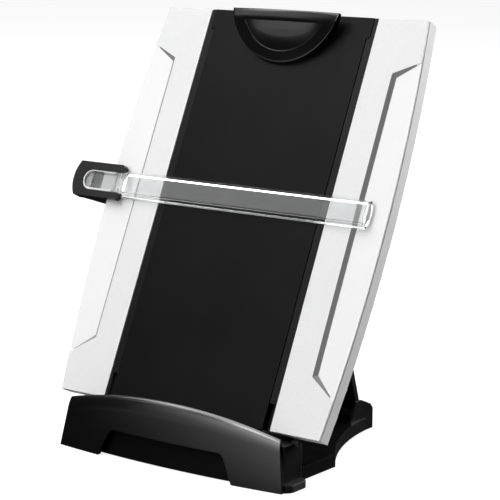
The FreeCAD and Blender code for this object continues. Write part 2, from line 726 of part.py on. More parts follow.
def make_posts():
    for side, sign in sides():
        body = new_body(f"{side}_hinge_post")
        near = skirt_front + skirt_wall + gap
        low, high = span(sign, post_inner, post_outer)
        upper = [
            (near + skirt_slant * tray_top, tray_top), (near + skirt_slant * post_top, post_top),
            (post_step, post_top), (post_step + post_slope, post_rest), (post_back, post_rest),
            (post_back, tray_top),
        ]
        pad(body, "YZ_Plane", low, high, upper)
        low, high = span(sign, tray_half + gap, post_outer)
        lower = [
            (near + skirt_slant * post_low, post_low), (near + skirt_slant * tray_top, tray_top),
            (post_back, tray_top), (post_back, post_low),
        ]
        pad(body, "YZ_Plane", low, high, lower)
        corner = Vector(sign * post_outer.value, post_back.value, 0)
        round_edges(body, post_round, lambda edge: is_upright(edge, corner))
        low, high = span(sign, post_inner, post_outer - pin_wall)
        pocket(body, "YZ_Plane", low, high, (hinge_y, hinge_z, hinge_radius))


def is_upright(edge, corner):
    """True for a vertical edge over a plan corner."""
    middle = edge.CenterOfMass
    flat = abs(middle.x - corner.x) + abs(middle.y - corner.y)
    return flat < 0.01 and abs(edge.tangentAt(edge.FirstParameter).z) > 0.99


def make_feet():
    for side, sign in sides():
        body = new_body(f"{side}_front_foot")
        inner = sign * (tray_half + gap)
        outer = sign * foot_outer
        corner = sign * (foot_outer - foot_round)
        bend = foot_round * (1 - half_turn_share)
        bulge = sign * (foot_outer - bend)
        plan = [
            (inner, foot_front), (corner, foot_front), Via(bulge, foot_front + bend),
            (outer, foot_front + foot_round), (outer, foot_back - foot_round),
            Via(bulge, foot_back - bend), (corner, foot_back), (inner, foot_back),
        ]
        pad(body, "XY_Plane", zero, post_low, plan)
        top = post_low.value
        clear = post_outer.value
        round_edges(body, foot_edge, lambda edge: is_free_edge(edge, top, clear))


def is_free_edge(edge, top, clear):
    """True for a foot's upper edges outside the post that stands on it."""
    return abs(edge.BoundBox.ZMin - top) < 0.01 and abs(edge.CenterOfMass.x) > clear


def make_ledge():
    body = new_body("document_ledge")
    half = post_inner - gap
    face = skirt_front + skirt_wall + gap * 2 + skirt_slant * (post_top - ledge_wall)
    bow = bow_at(half, post_top)
    plan = [
        (-half, face - bow), Via(zero, face - skirt_bow), (half, face - bow),
        (half, ledge_back), (-half, ledge_back),
    ]
    pad(body, "XY_Plane", post_top - ledge_wall, post_top, plan)
    web = rectangle(-half, half, ledge_back - ledge_web, ledge_back)
    pad(body, "XY_Plane", tray_top, post_top - ledge_wall, web)
    foot = ledge_back - ledge_web
    middles = [half * share for share in (-0.6, -0.2, 0.2, 0.6)]
    ribs = [
        rectangle(x - ledge_web / 2, x + ledge_web / 2, foot - ledge_rib, foot) for x in middles
    ]
    pad(body, "XY_Plane", tray_top, post_top - ledge_wall, *ribs)


def make_rubber_strips():
    places = (
        ("front_rubber_strip", zero, strip_half),
        ("rear_rubber_strip", tail_back - rubber_seat / 2, tail_half - rubber_margin),
    )
    reach = rubber_seat / 2 - rubber_inset
    for label, middle, half in places:
        body = new_body(label)
        face = rectangle(-half, half, middle - reach, middle + reach)
        pad(body, "XY_Plane", zero, tray_low, face)


def make_hinge_pins():
    for side, sign in sides():
        body = new_body(f"{side}_hinge_pin")
        low, high = span(sign, arm_inner - pin_proud, post_outer - pin_wall)
        pad(body, "YZ_Plane", low, high, (hinge_y, hinge_z, hinge_radius))


# ---------------------------------------------------------------- board

def make_back_shell():
    body = on_board("back_shell")
    pad(body, "XY_Plane", -board_depth, -wing_edge - gap, board_outline(zero))
    pocket(
        body, "XY_Plane", shell_wall - board_depth, -wing_edge - gap, board_outline(shell_wall)
    )
    ends = [
        rectangle(-centre_half, centre_half, -overcut, shell_wall + overcut),
        rectangle(
            -centre_half, centre_half, board_height - shell_wall - overcut, board_height + overcut
        ),
    ]
    pocket(body, "XY_Plane", -frame_back - gap, zero, *ends)
    holes = [(x, s, screw_radius + screw_clear) for x, s in screw_places()]
    pocket(body, "XY_Plane", -board_depth, shell_wall - board_depth, *holes)
    back = -board_depth.value
    round_edges(body, 1.2, lambda edge: is_outer_back_edge(edge, back))


def is_outer_back_edge(edge, back):
    """True for the outer edges of the back shell's back face, in the board's frame."""
    on_back = abs(edge.BoundBox.ZMin - back) < 0.01 and edge.BoundBox.ZLength < 0.01
    return on_back and edge.Length > 2 * math.pi * screw_head.value


def fold_tool(sign):
    """The wedge that sinks a wing's outer band: deepest at the fold, nothing at the edge."""
    edge = sign * middle_half.value
    line = sign * fold_line.value
    deep = sign * (fold_line + fold_slope).value
    depth = -fold_depth.value
    low, high = fold_low.value, fold_high.value
    slope = fold_slope.value / 2
    front = [
        Vector(line, low, 0), Vector(edge, (fold_low - fold_run_low).value, 0),
        Vector(edge, (fold_high + fold_run_high).value, 0), Vector(line, high, 0),
    ]
    bottom = [Vector(deep, low + slope, depth), Vector(deep, high - slope, depth)]
    faces = [
        front,
        [front[0], front[3], bottom[1], bottom[0]],
        [bottom[0], bottom[1], front[2], front[1]],
        [front[0], bottom[0], front[1]],
        [front[3], front[2], bottom[1]],
    ]
    shell = Part.makeShell([Part.Face(Part.makePolygon(face + face[:1])) for face in faces])
    return Part.makeSolid(shell)


def make_wings():
    for side, sign in sides():
        blank = doc.addObject("PartDesign::Body", f"{side}_wing_blank")
        inner = sign * (centre_half + gap)
        rim = [
            (inner, gap), (sign * (corner_half - gap), gap),
            Via(sign * (middle_half - gap), board_middle),
            (sign * (corner_half - gap), board_height - gap), (inner, board_height - gap),
        ]
        pad(blank, "XY_Plane", -wing_edge, zero, rim)
        tuck = shell_wall + gap
        body_outline = [
            (inner, tuck), (sign * (corner_half - tuck), tuck),
            Via(sign * (middle_half - tuck), board_middle),
            (sign * (corner_half - tuck), board_height - tuck), (inner, board_height - tuck),
        ]
        pad(blank, "XY_Plane", -wing_body, -wing_edge, body_outline)
        own = [(x, s) for x, s in screw_places() if x.value * sign > 0]
        bosses = [(x, s, boss_radius) for x, s in own]
        pad(blank, "XY_Plane", shell_wall - board_depth, -wing_body, *bosses)
        holes = [(x, s, screw_radius + run_fit) for x, s in own]
        pocket(blank, "XY_Plane", shell_wall - board_depth, boss_floor - wing_body, *holes)
        wedge = doc.addObject("Part::Feature", f"{side}_wing_fold")
        wedge.Shape = fold_tool(sign)
        wing = doc.addObject("Part::Cut", f"{side}_wing")
        wing.Base = blank
        wing.Tool = wedge
        wing.Label = f"{side}_wing"
        place(wing, board_front, board_low, board_turn)
        pieces.append(wing)


def make_centre_frame():
    body = on_board("centre_frame")
    half = centre_half - gap
    low, high = gap, board_height - gap
    floor = frame_floor - frame_back
    pad(body, "XY_Plane", -frame_back, floor, rectangle(-half, half, low, high))
    for sign in (-1, 1):
        inner = sign * rail_half
        outer = sign * half
        step = sign * (ear_half + slide_fit)
        rails = [
            (inner, rail_start), (outer, rail_start), (outer, high), (step, high),
            (step, rail_end), (inner, rail_end),
        ]
        pad(body, "XY_Plane", floor - merge, -rail_front, rails)
        left, right = span(sign, rail_half - overcut, ear_half + slide_fit)
        groove = rectangle(left, right, rail_start - overcut, rail_end + overcut)
        pocket(body, "XY_Plane", floor, -rail_front - lip, groove)


def make_memo_board():
    body = on_board("memo_board")
    floor = frame_floor - frame_back
    face = rectangle(-memo_half, memo_half, memo_low, rail_end - memo_margin)
    pad(body, "XY_Plane", floor, floor + memo_depth, face)


def make_friction_strips():
    body = on_board("friction_strips")
    floor = frame_floor - frame_back
    strips = []
    for sign in (-1, 1):
        inner = memo_half + strip_gap
        low, high = span(sign, inner, inner + strip_width)
        strips.append(rectangle(low, high, strip_low, rail_end - strip_margin))
    pad(body, "XY_Plane", floor, -panel_depth - strip_clear, *strips)


def make_panel():
    body = on_board("centre_panel")
    bare = rail_half - slide_fit
    tongue_half = ear_half - slide_fit / 2
    top = board_height - gap
    ear_low = rail_end + gap
    face = [
        (-bare, gap), (bare, gap), (bare, ear_low), (ear_half, ear_low), (ear_half, top),
        (-ear_half, top), (-ear_half, ear_low), (-bare, ear_low),
    ]
    pad(body, "XY_Plane", -panel_depth, zero, face)
    tongues = rectangle(-tongue_half, tongue_half, rail_start, ear_low)
    pad(body, "XY_Plane", -panel_depth, tongue - panel_depth, tongues)


def make_hinge_arms():
    for side, sign in sides():
        body = on_board(f"{side}_hinge_arm")
        low, high = span(sign, arm_inner, arm_outer)
        back = -board_depth
        shoulder = arm_eye * half_turn_share
        arm = [
            (arm_length, back), (arm_length, back - arm_plate + arm_bevel),
            (arm_length - arm_bevel_run, back - arm_plate), (arm_root, -hinge_back - arm_eye),
            (-hinge_drop, -hinge_back - arm_eye), Via(-hinge_drop - arm_eye, -hinge_back),
            (-hinge_drop, arm_eye - hinge_back), (shoulder - hinge_drop, shoulder - hinge_back),
            (-gap, back),
        ]
        pad(body, "YZ_Plane", low, high, arm)
        hole = (-hinge_drop, -hinge_back, hinge_radius + run_fit)
        pocket(body, "YZ_Plane", low, high, hole)


def make_board_screws():
    body = on_board("board_screws")
    heads = [(x, s, screw_head) for x, s in screw_places()]
    shanks = [(x, s, screw_radius) for x, s in screw_places()]
    back = -board_depth
    pad(body, "XY_Plane", back - screw_head_height, back, *heads)
    pad(body, "XY_Plane", back, boss_floor - screw_end - wing_body, *shanks)


# ---------------------------------------------------------------- strut

def make_strut_bracket():
    body = on_board("strut_bracket")
    half = bracket_half
    back = -board_depth - bracket_plate
    low, high = strut_pivot - bracket_reach, strut_pivot + bracket_reach
    wide = half + bracket_margin
    pad(body, "XY_Plane", back, -board_depth, rectangle(-wide, wide, low, high))
    eye = barrel_radius
    axis = -strut_back
    ear = [
        (strut_pivot - bracket_root, back), (strut_pivot - eye, axis),
        Via(strut_pivot, axis - eye), (strut_pivot + eye, axis),
        (strut_pivot + bracket_root, back),
    ]
    for sign in (-1, 1):
        left, right = span(sign, strut_top_half + gap, half)
        pad(body, "YZ_Plane", left, right, ear)
    pocket(body, "YZ_Plane", -half, half, (strut_pivot, axis, hinge_radius))


def make_strut_pin():
    body = on_board("strut_pin")
    pin = (strut_pivot, -strut_back, hinge_radius)
    pad(body, "YZ_Plane", -bracket_half, bracket_half, pin)


def make_bracket_screws():
    body = on_board("bracket_screws")
    back = -board_depth - bracket_plate
    heads = [
        (column * strut_top_half / 2, strut_pivot + row * bracket_screw, bracket_screw_head)
        for column in (-1, 1) for row in (-1, 1)
    ]
    pad(body, "XY_Plane", back - bracket_screw_height, back, *heads)


def make_strut():
    body = new_body("strut")
    place(body, strut_y, strut_z, strut_turn)
    half = strut_thick / 2
    end = pad_cap - strut_length
    plate = [
        (-strut_half, end), (strut_half, end), (strut_top_half, -barrel_neck),
        (strut_top_half, zero), (-strut_top_half, zero), (-strut_top_half, -barrel_neck),
    ]
    pad(body, "XY_Plane", -half, half, plate)
    barrel = (zero, zero, barrel_radius)
    pad(body, "YZ_Plane", -strut_top_half, strut_top_half, barrel)
    low, high = end + strut_border, -barrel_radius - strut_border
    for sign in (-1, 1):
        panel = [
            (sign * strut_border / 2, low), (sign * (strut_half - strut_border), low),
            (sign * (strut_top_half - strut_border), high), (sign * strut_border / 2, high),
        ]
        pocket(body, "XY_Plane", strut_web - half, half, panel)
    hole = (zero, zero, hinge_radius + run_fit)
    pocket(body, "YZ_Plane", -strut_top_half, strut_top_half, hole)


def make_strut_pad():
    body = new_body("strut_foot_pad")
    place(body, strut_y, strut_z, strut_turn)
    top = pad_cap - strut_length
    section = [
        (top, pad_radius), (-strut_length, pad_radius), Via(-strut_length - pad_radius, zero),
        (-strut_length, -pad_radius), (top, -pad_radius),
    ]
    pad(body, "YZ_Plane", -strut_half, strut_half, section)


# ---------------------------------------------------------------- line guide

def make_guide_rail():
    body = on_board("guide_rail")
    face = rectangle(-rail_outer, -rail_inner, rail_low, rail_high)
    pad(body, "XY_Plane", -board_depth - rail_height, -board_depth, face)


def make_slider_housing():
    body = on_board("slider_housing")
    low, high = slider_middle - slider_half, slider_middle + slider_half
    tip = -slider_tip
    corner = -slider_left
    face = [
        (tip - slider_bevel, low), (tip, low + slider_bevel), (tip, high - slider_bevel),
        (tip - slider_bevel, high), (corner, high), Via(corner - slider_bulge, slider_middle),
        (corner, low),
    ]
    pad(body, "XY_Plane", slider_lift, slider_front, face)
    joined = slider_lift + merge
    end = [
        (-web_inner, low), (-web_inner, high), (corner, high),
        Via(corner - slider_bulge, slider_middle), (corner, low),
    ]
    pad(body, "XY_Plane", -slider_side, joined, end)
    side = [
        (-web_inner, merge - slider_side), (-web_inner, -jaw_split), (-jaw_left, -jaw_split),
        (corner, -slider_side), (corner, merge - slider_side),
    ]
    pad(body, "XZ_Plane", low + jaw_inset, high - jaw_inset, side)
    near = bar_middle - fork_half
    far = bar_middle + fork_half
    round_x = fork_half - fork_end
    slot = [
        (tip + overcut, near), (tip + overcut, far), (round_x, far),
        Via(-fork_end, bar_middle), (round_x, near),
    ]
    pocket(body, "XY_Plane", -press_room, slider_front, slot)
    hole = (-guide_pivot, guide_height, guide_pin)
    pocket(body, "XZ_Plane", low, high, hole)
    screws = [(x, s, screw_radius) for x, s in slider_screws()]
    pocket(body, "XY_Plane", -jaw_split, -press_room - screw_skin, *screws)


def slider_screws():
    return [(-slider_screw, slider_middle + step * slider_half / 2) for step in (-1, 1)]


def make_slider_jaw():
    body = on_board("slider_jaw")
    reach = slider_half - jaw_inset
    low, high = slider_middle - reach, slider_middle + reach
    near = -board_depth - slider_lift
    groove_outer = -rail_outer - gap
    groove_inner = -rail_inner + gap
    groove_floor = -board_depth - rail_height - gap
    end = groove_inner + jaw_wall
    section = [
        (-jaw_left, -jaw_split), (jaw_bevel - jaw_left, -jaw_depth), (end, -jaw_depth),
        (end, near), (groove_inner, near), (groove_inner, groove_floor),
        (groove_outer, groove_floor), (groove_outer, near), (-web_inner, near),
        (-web_inner, -jaw_split),
    ]
    pad(body, "XZ_Plane", low, high, section)
    room = leaf_half + nest_margin
    wall = leaf_inset - nest_margin + gap
    nest = rectangle(
        groove_outer + wall, groove_inner - wall, slider_middle - room, slider_middle + room
    )
    pocket(body, "XY_Plane", groove_floor - leaf_rise - leaf_thick, groove_floor, nest)
    holes = [(x, s, screw_radius + screw_clear) for x, s in slider_screws()]
    pocket(body, "XY_Plane", -jaw_depth, -jaw_split, *holes)


def make_leaf_spring():
    body = on_board("slider_leaf_spring")
    crown = -board_depth - rail_height - leaf_fit
    seat = crown - leaf_rise - leaf_thick
    strip = [
        (slider_middle - leaf_half, seat), Via(slider_middle, crown - leaf_thick),
        (slider_middle + leaf_half, seat), (slider_middle + leaf_half, seat + leaf_thick),
        Via(slider_middle, crown), (slider_middle - leaf_half, seat + leaf_thick),
    ]
    pad(body, "YZ_Plane", leaf_inset - rail_outer, -rail_inner - leaf_inset, strip)


def make_slider_screws():
    body = on_board("slider_screws")
    heads = [(x, s, screw_head) for x, s in slider_screws()]
    shanks = [(x, s, screw_radius) for x, s in slider_screws()]
    pad(body, "XY_Plane", -jaw_depth - screw_head_height, -jaw_depth, *heads)
    pad(body, "XY_Plane", -jaw_depth, -press_room - screw_skin - screw_end, *shanks)


def make_guide_bar():
    body = on_board("guide_bar")
    low, high = bar_middle - tab_half, bar_middle + tab_half
    round_x = tab_half - tab_end
    left = -bar_left
    neck = left + bar_wall
    outer = bar_section(zero)
    pad(body, "YZ_Plane", left, bar_right + overcut, outer)
    hollow_end = bar_right - bar_end_bow - bar_wall
    pocket(body, "YZ_Plane", neck, hollow_end, bar_section(bar_wall))
    edge = bar_right - bar_end_bow
    past = bar_right + overcut * 2
    below = bar_middle - bar_back_half - overcut
    above = bar_middle + bar_back_half + overcut
    end = [(edge, below), (past, below), (past, above), (edge, above), Via(bar_right, bar_middle)]
    pocket(body, "XY_Plane", bar_back, bar_front, end)
    bevel_start = bar_right - bar_end_bevel
    bevel_end = bar_back + bar_lip
    bevel = [
        (bevel_start, bar_front + overcut), (bevel_start, bar_front), (bar_right, bevel_end),
        (past, bevel_end), (past, bar_front + overcut),
    ]
    pocket(body, "XZ_Plane", below, above, bevel)
    tab = [
        (neck, low), (neck, high), (round_x, high), Via(-tab_end, bar_middle), (round_x, low),
    ]
    pad(body, "XY_Plane", tab_back, tab_front, tab)
    well_half = tab_half - tab_rim
    well_right = -guide_pivot - guide_pin - pin_land
    well = [
        (well_right, bar_middle - well_half), (well_right, bar_middle + well_half),
        (round_x, bar_middle + well_half), Via(tab_rim - tab_end, bar_middle),
        (round_x, bar_middle - well_half),
    ]
    pocket(body, "XY_Plane", tab_back + tab_floor, tab_front, well)
    for bottom, top in guide_pin_spans():
        inside_low = low if bottom.value < low.value else bottom
        inside_high = high if top.value > high.value else top
        hole = (-guide_pivot, guide_height, guide_pin + run_fit)
        pocket(body, "XZ_Plane", inside_low, inside_high, hole)


def bar_section(wall):
    """The guide bar's trapezoid section, or its hollow for a wall thickness."""
    back = bar_back - wall
    return [
        (bar_middle - bar_back_half + wall, back), (bar_middle + bar_back_half - wall, back),
        (bar_middle + bar_front_half - wall, bar_front - wall),
        (bar_middle - bar_front_half + wall, bar_front - wall),
    ]


def guide_pin_spans():
    """Where the two guide pins start and end, up the board."""
    reach = slider_half - guide_pin_inset
    low, high = slider_middle - reach, slider_middle + reach
    return (
        (low, bar_middle - tab_half + guide_pin_depth),
        (bar_middle + tab_half - guide_pin_depth, high),
    )


def make_guide_pins():
    body = on_board("guide_pins")
    for bottom, top in guide_pin_spans():
        pin = (-guide_pivot, guide_height, guide_pin)
        pad(body, "XZ_Plane", bottom, top, pin)


# ---------------------------------------------------------------- paper clip

def clip_face(inset):
    """The clip's half-disc outline, moved in by an inset."""
    half = clip_half - inset
    top = clip_top - inset
    return [(-half, top), Via(zero, clip_tip + inset), (half, top)]


def clip_surface(up):
    """The height of the clip's sloping face at this place up the board."""
    return clip_low + clip_rise * (up - clip_tip)


def make_clip_lever():
    body = on_board("clip_lever")
    pad(body, "XY_Plane", clip_back, clip_high, clip_face(zero))
    before = clip_tip - overcut
    past = clip_top + overcut
    slope = [
        (before, clip_surface(before)), (past, clip_surface(past)),
        (past, clip_high + overcut * 2), (before, clip_high + overcut * 2),
    ]
    pocket(body, "YZ_Plane", -clip_half, clip_half, slope)
    start = clip_top - clip_relief_run
    relief = [
        (start, clip_back), (clip_top, clip_relief), (past, clip_relief),
        (past, clip_back - overcut), (start, clip_back - overcut),
    ]
    pocket(body, "YZ_Plane", -clip_half, clip_half, relief)
    hollow = doc.addObject("PartDesign::Body", "clip_hollow")
    pad(hollow, "XY_Plane", clip_back - overcut, clip_high, clip_face(clip_wall))
    inner_slope = [(s, n - clip_wall) for s, n in slope]
    pocket(hollow, "YZ_Plane", -clip_half, clip_half, inner_slope)
    dish = doc.addObject("PartDesign::Body", "clip_dish")
    dish_top = clip_top - dish_high
    dish_face = [(-dish_half, dish_top), Via(zero, clip_tip + dish_low), (dish_half, dish_top)]
    pad(dish, "XY_Plane", clip_back, clip_high + overcut, dish_face)
    kept = [
        (before, clip_back - overcut), (past, clip_back - overcut),
        (past, clip_surface(past) - dish_depth), (before, clip_surface(before) - dish_depth),
    ]
    pocket(dish, "YZ_Plane", -clip_half, clip_half, kept)
    opened = body.newObject("PartDesign::Boolean", "opened")
    opened.Type = "Cut"
    opened.setObjects([hollow, dish])
    doc.recompute()
    near, far = clip_axis - clip_eye, clip_axis + clip_eye
    lug = [
        (near, clip_axis_height), Via(clip_axis, clip_axis_height - clip_eye),
        (far, clip_axis_height), (far, clip_surface(far) - clip_wall / 2),
        (near, clip_surface(near) - clip_wall / 2),
    ]
    for sign in (-1, 1):
        low, high = span(sign, clip_lug, clip_lug + clip_lug_width)
        pad(body, "YZ_Plane", low, high, lug)
    hole = (clip_axis, clip_axis_height, clip_pin + run_fit)
    reach = clip_lug + clip_lug_width
    pocket(body, "YZ_Plane", -reach, reach, hole)


def make_clip_bracket():
    body = on_board("clip_bracket")
    wide = clip_ears + clip_plate_margin
    plate = rectangle(-wide, wide, clip_axis - clip_plate_half, clip_axis + clip_plate_half)
    pad(body, "XY_Plane", zero, clip_plate, plate)
    eye = clip_eye
    ear = [
        (clip_axis - clip_ear_root, clip_plate), (clip_axis + clip_ear_root, clip_plate),
        (clip_axis + eye, clip_axis_height), Via(clip_axis, clip_axis_height + eye),
        (clip_axis - eye, clip_axis_height),
    ]
    for sign in (-1, 1):
        low, high = span(sign, clip_ear, clip_ears)
        pad(body, "YZ_Plane", low, high, ear)
    hole = (clip_axis, clip_axis_height, clip_pin)
    pocket(body, "YZ_Plane", -clip_ears, clip_ears, hole)


def make_clip_pin():
    body = on_board("clip_pin")
    pad(body, "YZ_Plane", -clip_ears, clip_ears, (clip_axis, clip_axis_height, clip_pin))


def make_clip_spring():
    body = on_board("clip_spring")
    inner = clip_pin + spring_fit
    coil = (clip_axis, clip_axis_height, inner + spring_wire)
    pad(body, "YZ_Plane", -spring_half, spring_half, coil)
    foot = clip_plate + gap / 2
    end, root_s = clip_axis - spring_leg, clip_axis - spring_root
    leg = [
        (end, foot), (root_s, foot), (root_s, foot + spring_wire + spring_bend),
        (end, foot + spring_wire),
    ]
    pad(body, "YZ_Plane", -spring_half, spring_wire - spring_half, leg)
    pocket(body, "YZ_Plane", -spring_half, spring_half, (clip_axis, clip_axis_height, inner))


def make_clip_pad():
    body = on_board("clip_pad")
    near = clip_tip + clip_pad_start
    far = near + clip_pad_width
    drop = clip_wall + gap
    section = [
        (near, gap), (far, gap), (far, clip_surface(far) - drop), (near, clip_surface(near) - drop),
    ]
    pad(body, "YZ_Plane", -clip_pad_half, clip_pad_half, section)


# ---------------------------------------------------------------- model

make_tray()
make_skirt()
make_recess_panel()
make_posts()
make_feet()
make_ledge()
make_rubber_strips()
make_hinge_pins()
make_back_shell()
make_wings()
make_centre_frame()
make_memo_board()
make_friction_strips()
make_panel()
make_hinge_arms()
make_board_screws()
make_strut_bracket()
make_strut_pin()
make_bracket_screws()
make_strut()
make_strut_pad()
make_guide_rail()
make_slider_housing()
make_slider_jaw()
make_leaf_spring()
make_slider_screws()
make_guide_bar()
make_guide_pins()
make_clip_lever()
make_clip_bracket()
make_clip_pin()
make_clip_spring()
make_clip_pad()
doc.recompute()

for thing in doc.Objects:
    if "Invalid" in thing.State or "Error" in thing.State:
        raise RuntimeError(f"{thing.Label} failed: {thing.State}")
for piece in pieces:
    if piece.Shape.isNull() or not piece.Shape.isValid():
        raise RuntimeError(f"{piece.Label} has no valid shape")

os.makedirs("parts", exist_ok=True)
for piece in pieces:
    piece.Shape.exportStep(f"parts/{piece.Label}.step")
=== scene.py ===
import bmesh
import bpy
import json
import math
from mathutils import Matrix, Vector


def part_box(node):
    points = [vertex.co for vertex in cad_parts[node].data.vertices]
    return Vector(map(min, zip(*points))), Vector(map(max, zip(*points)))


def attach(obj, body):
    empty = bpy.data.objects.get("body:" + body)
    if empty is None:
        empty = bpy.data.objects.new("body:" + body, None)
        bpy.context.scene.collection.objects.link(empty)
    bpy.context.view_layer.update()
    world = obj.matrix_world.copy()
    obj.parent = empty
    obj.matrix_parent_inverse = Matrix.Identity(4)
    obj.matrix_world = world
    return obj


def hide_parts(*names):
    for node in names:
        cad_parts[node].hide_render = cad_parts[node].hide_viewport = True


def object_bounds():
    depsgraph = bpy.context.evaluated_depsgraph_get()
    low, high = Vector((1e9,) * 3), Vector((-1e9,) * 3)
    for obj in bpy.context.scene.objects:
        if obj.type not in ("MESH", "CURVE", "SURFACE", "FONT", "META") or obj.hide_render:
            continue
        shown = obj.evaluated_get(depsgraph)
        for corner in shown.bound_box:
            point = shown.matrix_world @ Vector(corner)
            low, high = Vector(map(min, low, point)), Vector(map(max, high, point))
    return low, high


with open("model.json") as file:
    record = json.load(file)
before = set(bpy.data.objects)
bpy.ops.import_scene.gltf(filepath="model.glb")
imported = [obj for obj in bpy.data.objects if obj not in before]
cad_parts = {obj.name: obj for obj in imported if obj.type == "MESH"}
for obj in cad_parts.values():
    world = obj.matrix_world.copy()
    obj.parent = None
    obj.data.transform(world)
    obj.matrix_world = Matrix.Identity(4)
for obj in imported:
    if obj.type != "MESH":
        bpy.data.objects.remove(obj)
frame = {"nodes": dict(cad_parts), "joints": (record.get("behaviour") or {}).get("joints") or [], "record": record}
cad_low, cad_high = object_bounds()

MM = 0.001
nodes = frame["nodes"]
joints = {joint["name"]: joint for joint in frame["joints"]}

# Board frame: x across, s up along the board from its bottom edge, n out of its face.
ACROSS = Vector((1, 0, 0))
UP = Vector(joints["panel_slide"]["axis"]).normalized()
OUT = ACROSS.cross(UP)


def reach(node, direction):
    """The lowest and highest reach of a CAD node along a direction."""
    values = [vertex.co.dot(direction) for vertex in nodes[node].data.vertices]
    return min(values), max(values)


BOARD_ORIGIN = UP * reach("back_shell", UP)[0] + OUT * reach("centre_panel", OUT)[1]
BOARD = Matrix((
    (ACROSS.x, UP.x, OUT.x, BOARD_ORIGIN.x),
    (ACROSS.y, UP.y, OUT.y, BOARD_ORIGIN.y),
    (ACROSS.z, UP.z, OUT.z, BOARD_ORIGIN.z),
    (0, 0, 0, 1),
))


def board_box(node):
    """The lowest and highest corner of a CAD node in the board frame."""
    inverse = BOARD.inverted()
    points = [inverse @ vertex.co for vertex in nodes[node].data.vertices]
    low = Vector([min(point[axis] for point in points) for axis in range(3)])
    high = Vector([max(point[axis] for point in points) for axis in range(3)])
    return low, high


# ---------------------------------------------------------------- camera

CAMERA_PLACE = Vector((923.5, -1147.2, 442.15)) * MM
CAMERA_TARGET = Vector((33.05, 48.0, 162.98)) * MM
CAMERA_ROLL = math.radians(0.3)
CAMERA_LENS = 144.9


def add_camera():
    data = bpy.data.cameras.new("camera")
    data.lens = CAMERA_LENS
    data.sensor_width = 36
    data.clip_start = 0.05
    data.clip_end = 50
    camera = bpy.data.objects.new("camera", data)
    bpy.context.scene.collection.objects.link(camera)
    looking = (CAMERA_TARGET - CAMERA_PLACE).to_track_quat("-Z", "Y").to_matrix().to_4x4()
    camera.matrix_world = (
        Matrix.Translation(CAMERA_PLACE) @ looking @ Matrix.Rotation(CAMERA_ROLL, 4, "Z")
    )
    bpy.context.scene.camera = camera


# ---------------------------------------------------------------- node helpers

class Nodes:
    """A short way to write a node tree: add nodes by type and link their sockets."""

    def __init__(self, tree):
        self.tree = tree
        tree.nodes.clear()

    def add(self, kind, inputs=None, **settings):
        node = self.tree.nodes.new(kind)
        for name, value in settings.items():
            setattr(node, name, value)
        for name, value in (inputs or {}).items():
            socket = node.inputs[name]
            if isinstance(value, bpy.types.NodeSocket):
                self.tree.links.new(value, socket)
            else:
                socket.default_value = value
        return node

    def math(self, operation, first, second=0.0, third=0.0, clamp=False):
        node = self.add("ShaderNodeMath", operation=operation, use_clamp=clamp)
        for place, value in enumerate((first, second, third)):
            if isinstance(value, bpy.types.NodeSocket):
                self.tree.links.new(value, node.inputs[place])
            else:
                node.inputs[place].default_value = value
        return node.outputs[0]

    def noise(self, vector, scale, detail):
        inputs = {"Vector": vector, "Scale": scale, "Detail": detail}
        return self.add("ShaderNodeTexNoise", inputs).outputs["Fac"]

    def spread(self, value, low, high):
        """Maps a noise value of 0.25 to 0.75 onto a range."""
        inputs = {"Value": value, "From Min": 0.25, "From Max": 0.75, "To Min": low, "To Max": high}
        return self.add("ShaderNodeMapRange", inputs).outputs["Result"]

    def tint(self, factor, low, high):
        """Mixes two colours, given as plain values or as sockets."""
        node = self.add("ShaderNodeMix", data_type="RGBA")
        self.tree.links.new(factor, node.inputs[0])
        for place, colour in ((6, low), (7, high)):
            if isinstance(colour, bpy.types.NodeSocket):
                self.tree.links.new(colour, node.inputs[place])
            else:
                node.inputs[place].default_value = (*colour, 1)
        return node.outputs[2]

    def along(self, vector, direction):
        """How far a vector reaches along a fixed direction."""
        inputs = {0: vector, 1: tuple(direction)}
        return self.add("ShaderNodeVectorMath", inputs, operation="DOT_PRODUCT").outputs["Value"]

    def across(self, vector):
        """How far a vector reaches to the right."""
        return self.add("ShaderNodeSeparateXYZ", {"Vector": vector}).outputs["X"]

    def blend(self, factor, first, second):
        """A mix of two shaders."""
        node = self.add("ShaderNodeMixShader", {"Fac": factor})
        self.tree.links.new(first.outputs[0], node.inputs[1])
        self.tree.links.new(second.outputs[0], node.inputs[2])
        return node

    def ramp(self, value, start, end):
        """0 where a value is at start, 1 where it is at end."""
        inputs = {"Value": value, "From Min": start, "From Max": end}
        return self.add("ShaderNodeMapRange", inputs).outputs["Result"]

    def bump(self, height, distance, strength=1.0):
        inputs = {"Height": height, "Distance": distance, "Strength": strength}
        return self.add("ShaderNodeBump", inputs).outputs["Normal"]


def new_material(name):
    material = bpy.data.materials.new(name)
    material.use_nodes = True
    tree = Nodes(material.node_tree)
    place = tree.add("ShaderNodeTexCoord").outputs["Object"]
    return material, tree, place


def close_material(tree, shader):
    tree.add("ShaderNodeOutputMaterial", {"Surface": shader.outputs[0]})


# ---------------------------------------------------------------- materials

def moulded_plastic(name, dark, light, gloss, grain, grain_depth, specular=0.5):
    """Moulded plastic: a tinted body, uneven gloss and a fine grain or orange peel.

    The grain's size and depth are in metres.
    """
    material, tree, place = new_material(name)
    cloud = tree.noise(place, 14, 3)
    fine = tree.noise(place, 1 / grain, 2)
    shader = tree.add("ShaderNodeBsdfPrincipled", {
        "Base Color": tree.tint(tree.spread(cloud, 0, 1), dark, light),
        "Roughness": tree.spread(tree.noise(place, 45, 4), gloss[0], gloss[1]),
        "Specular IOR Level": specular,
        "Normal": tree.bump(fine, grain_depth),
    })
    close_material(tree, shader)
    return material


# Where the fold lies across a wing, in millimetres from the board's middle.
FOLD_INNER = 103.5
FOLD_OUTER = 124.0
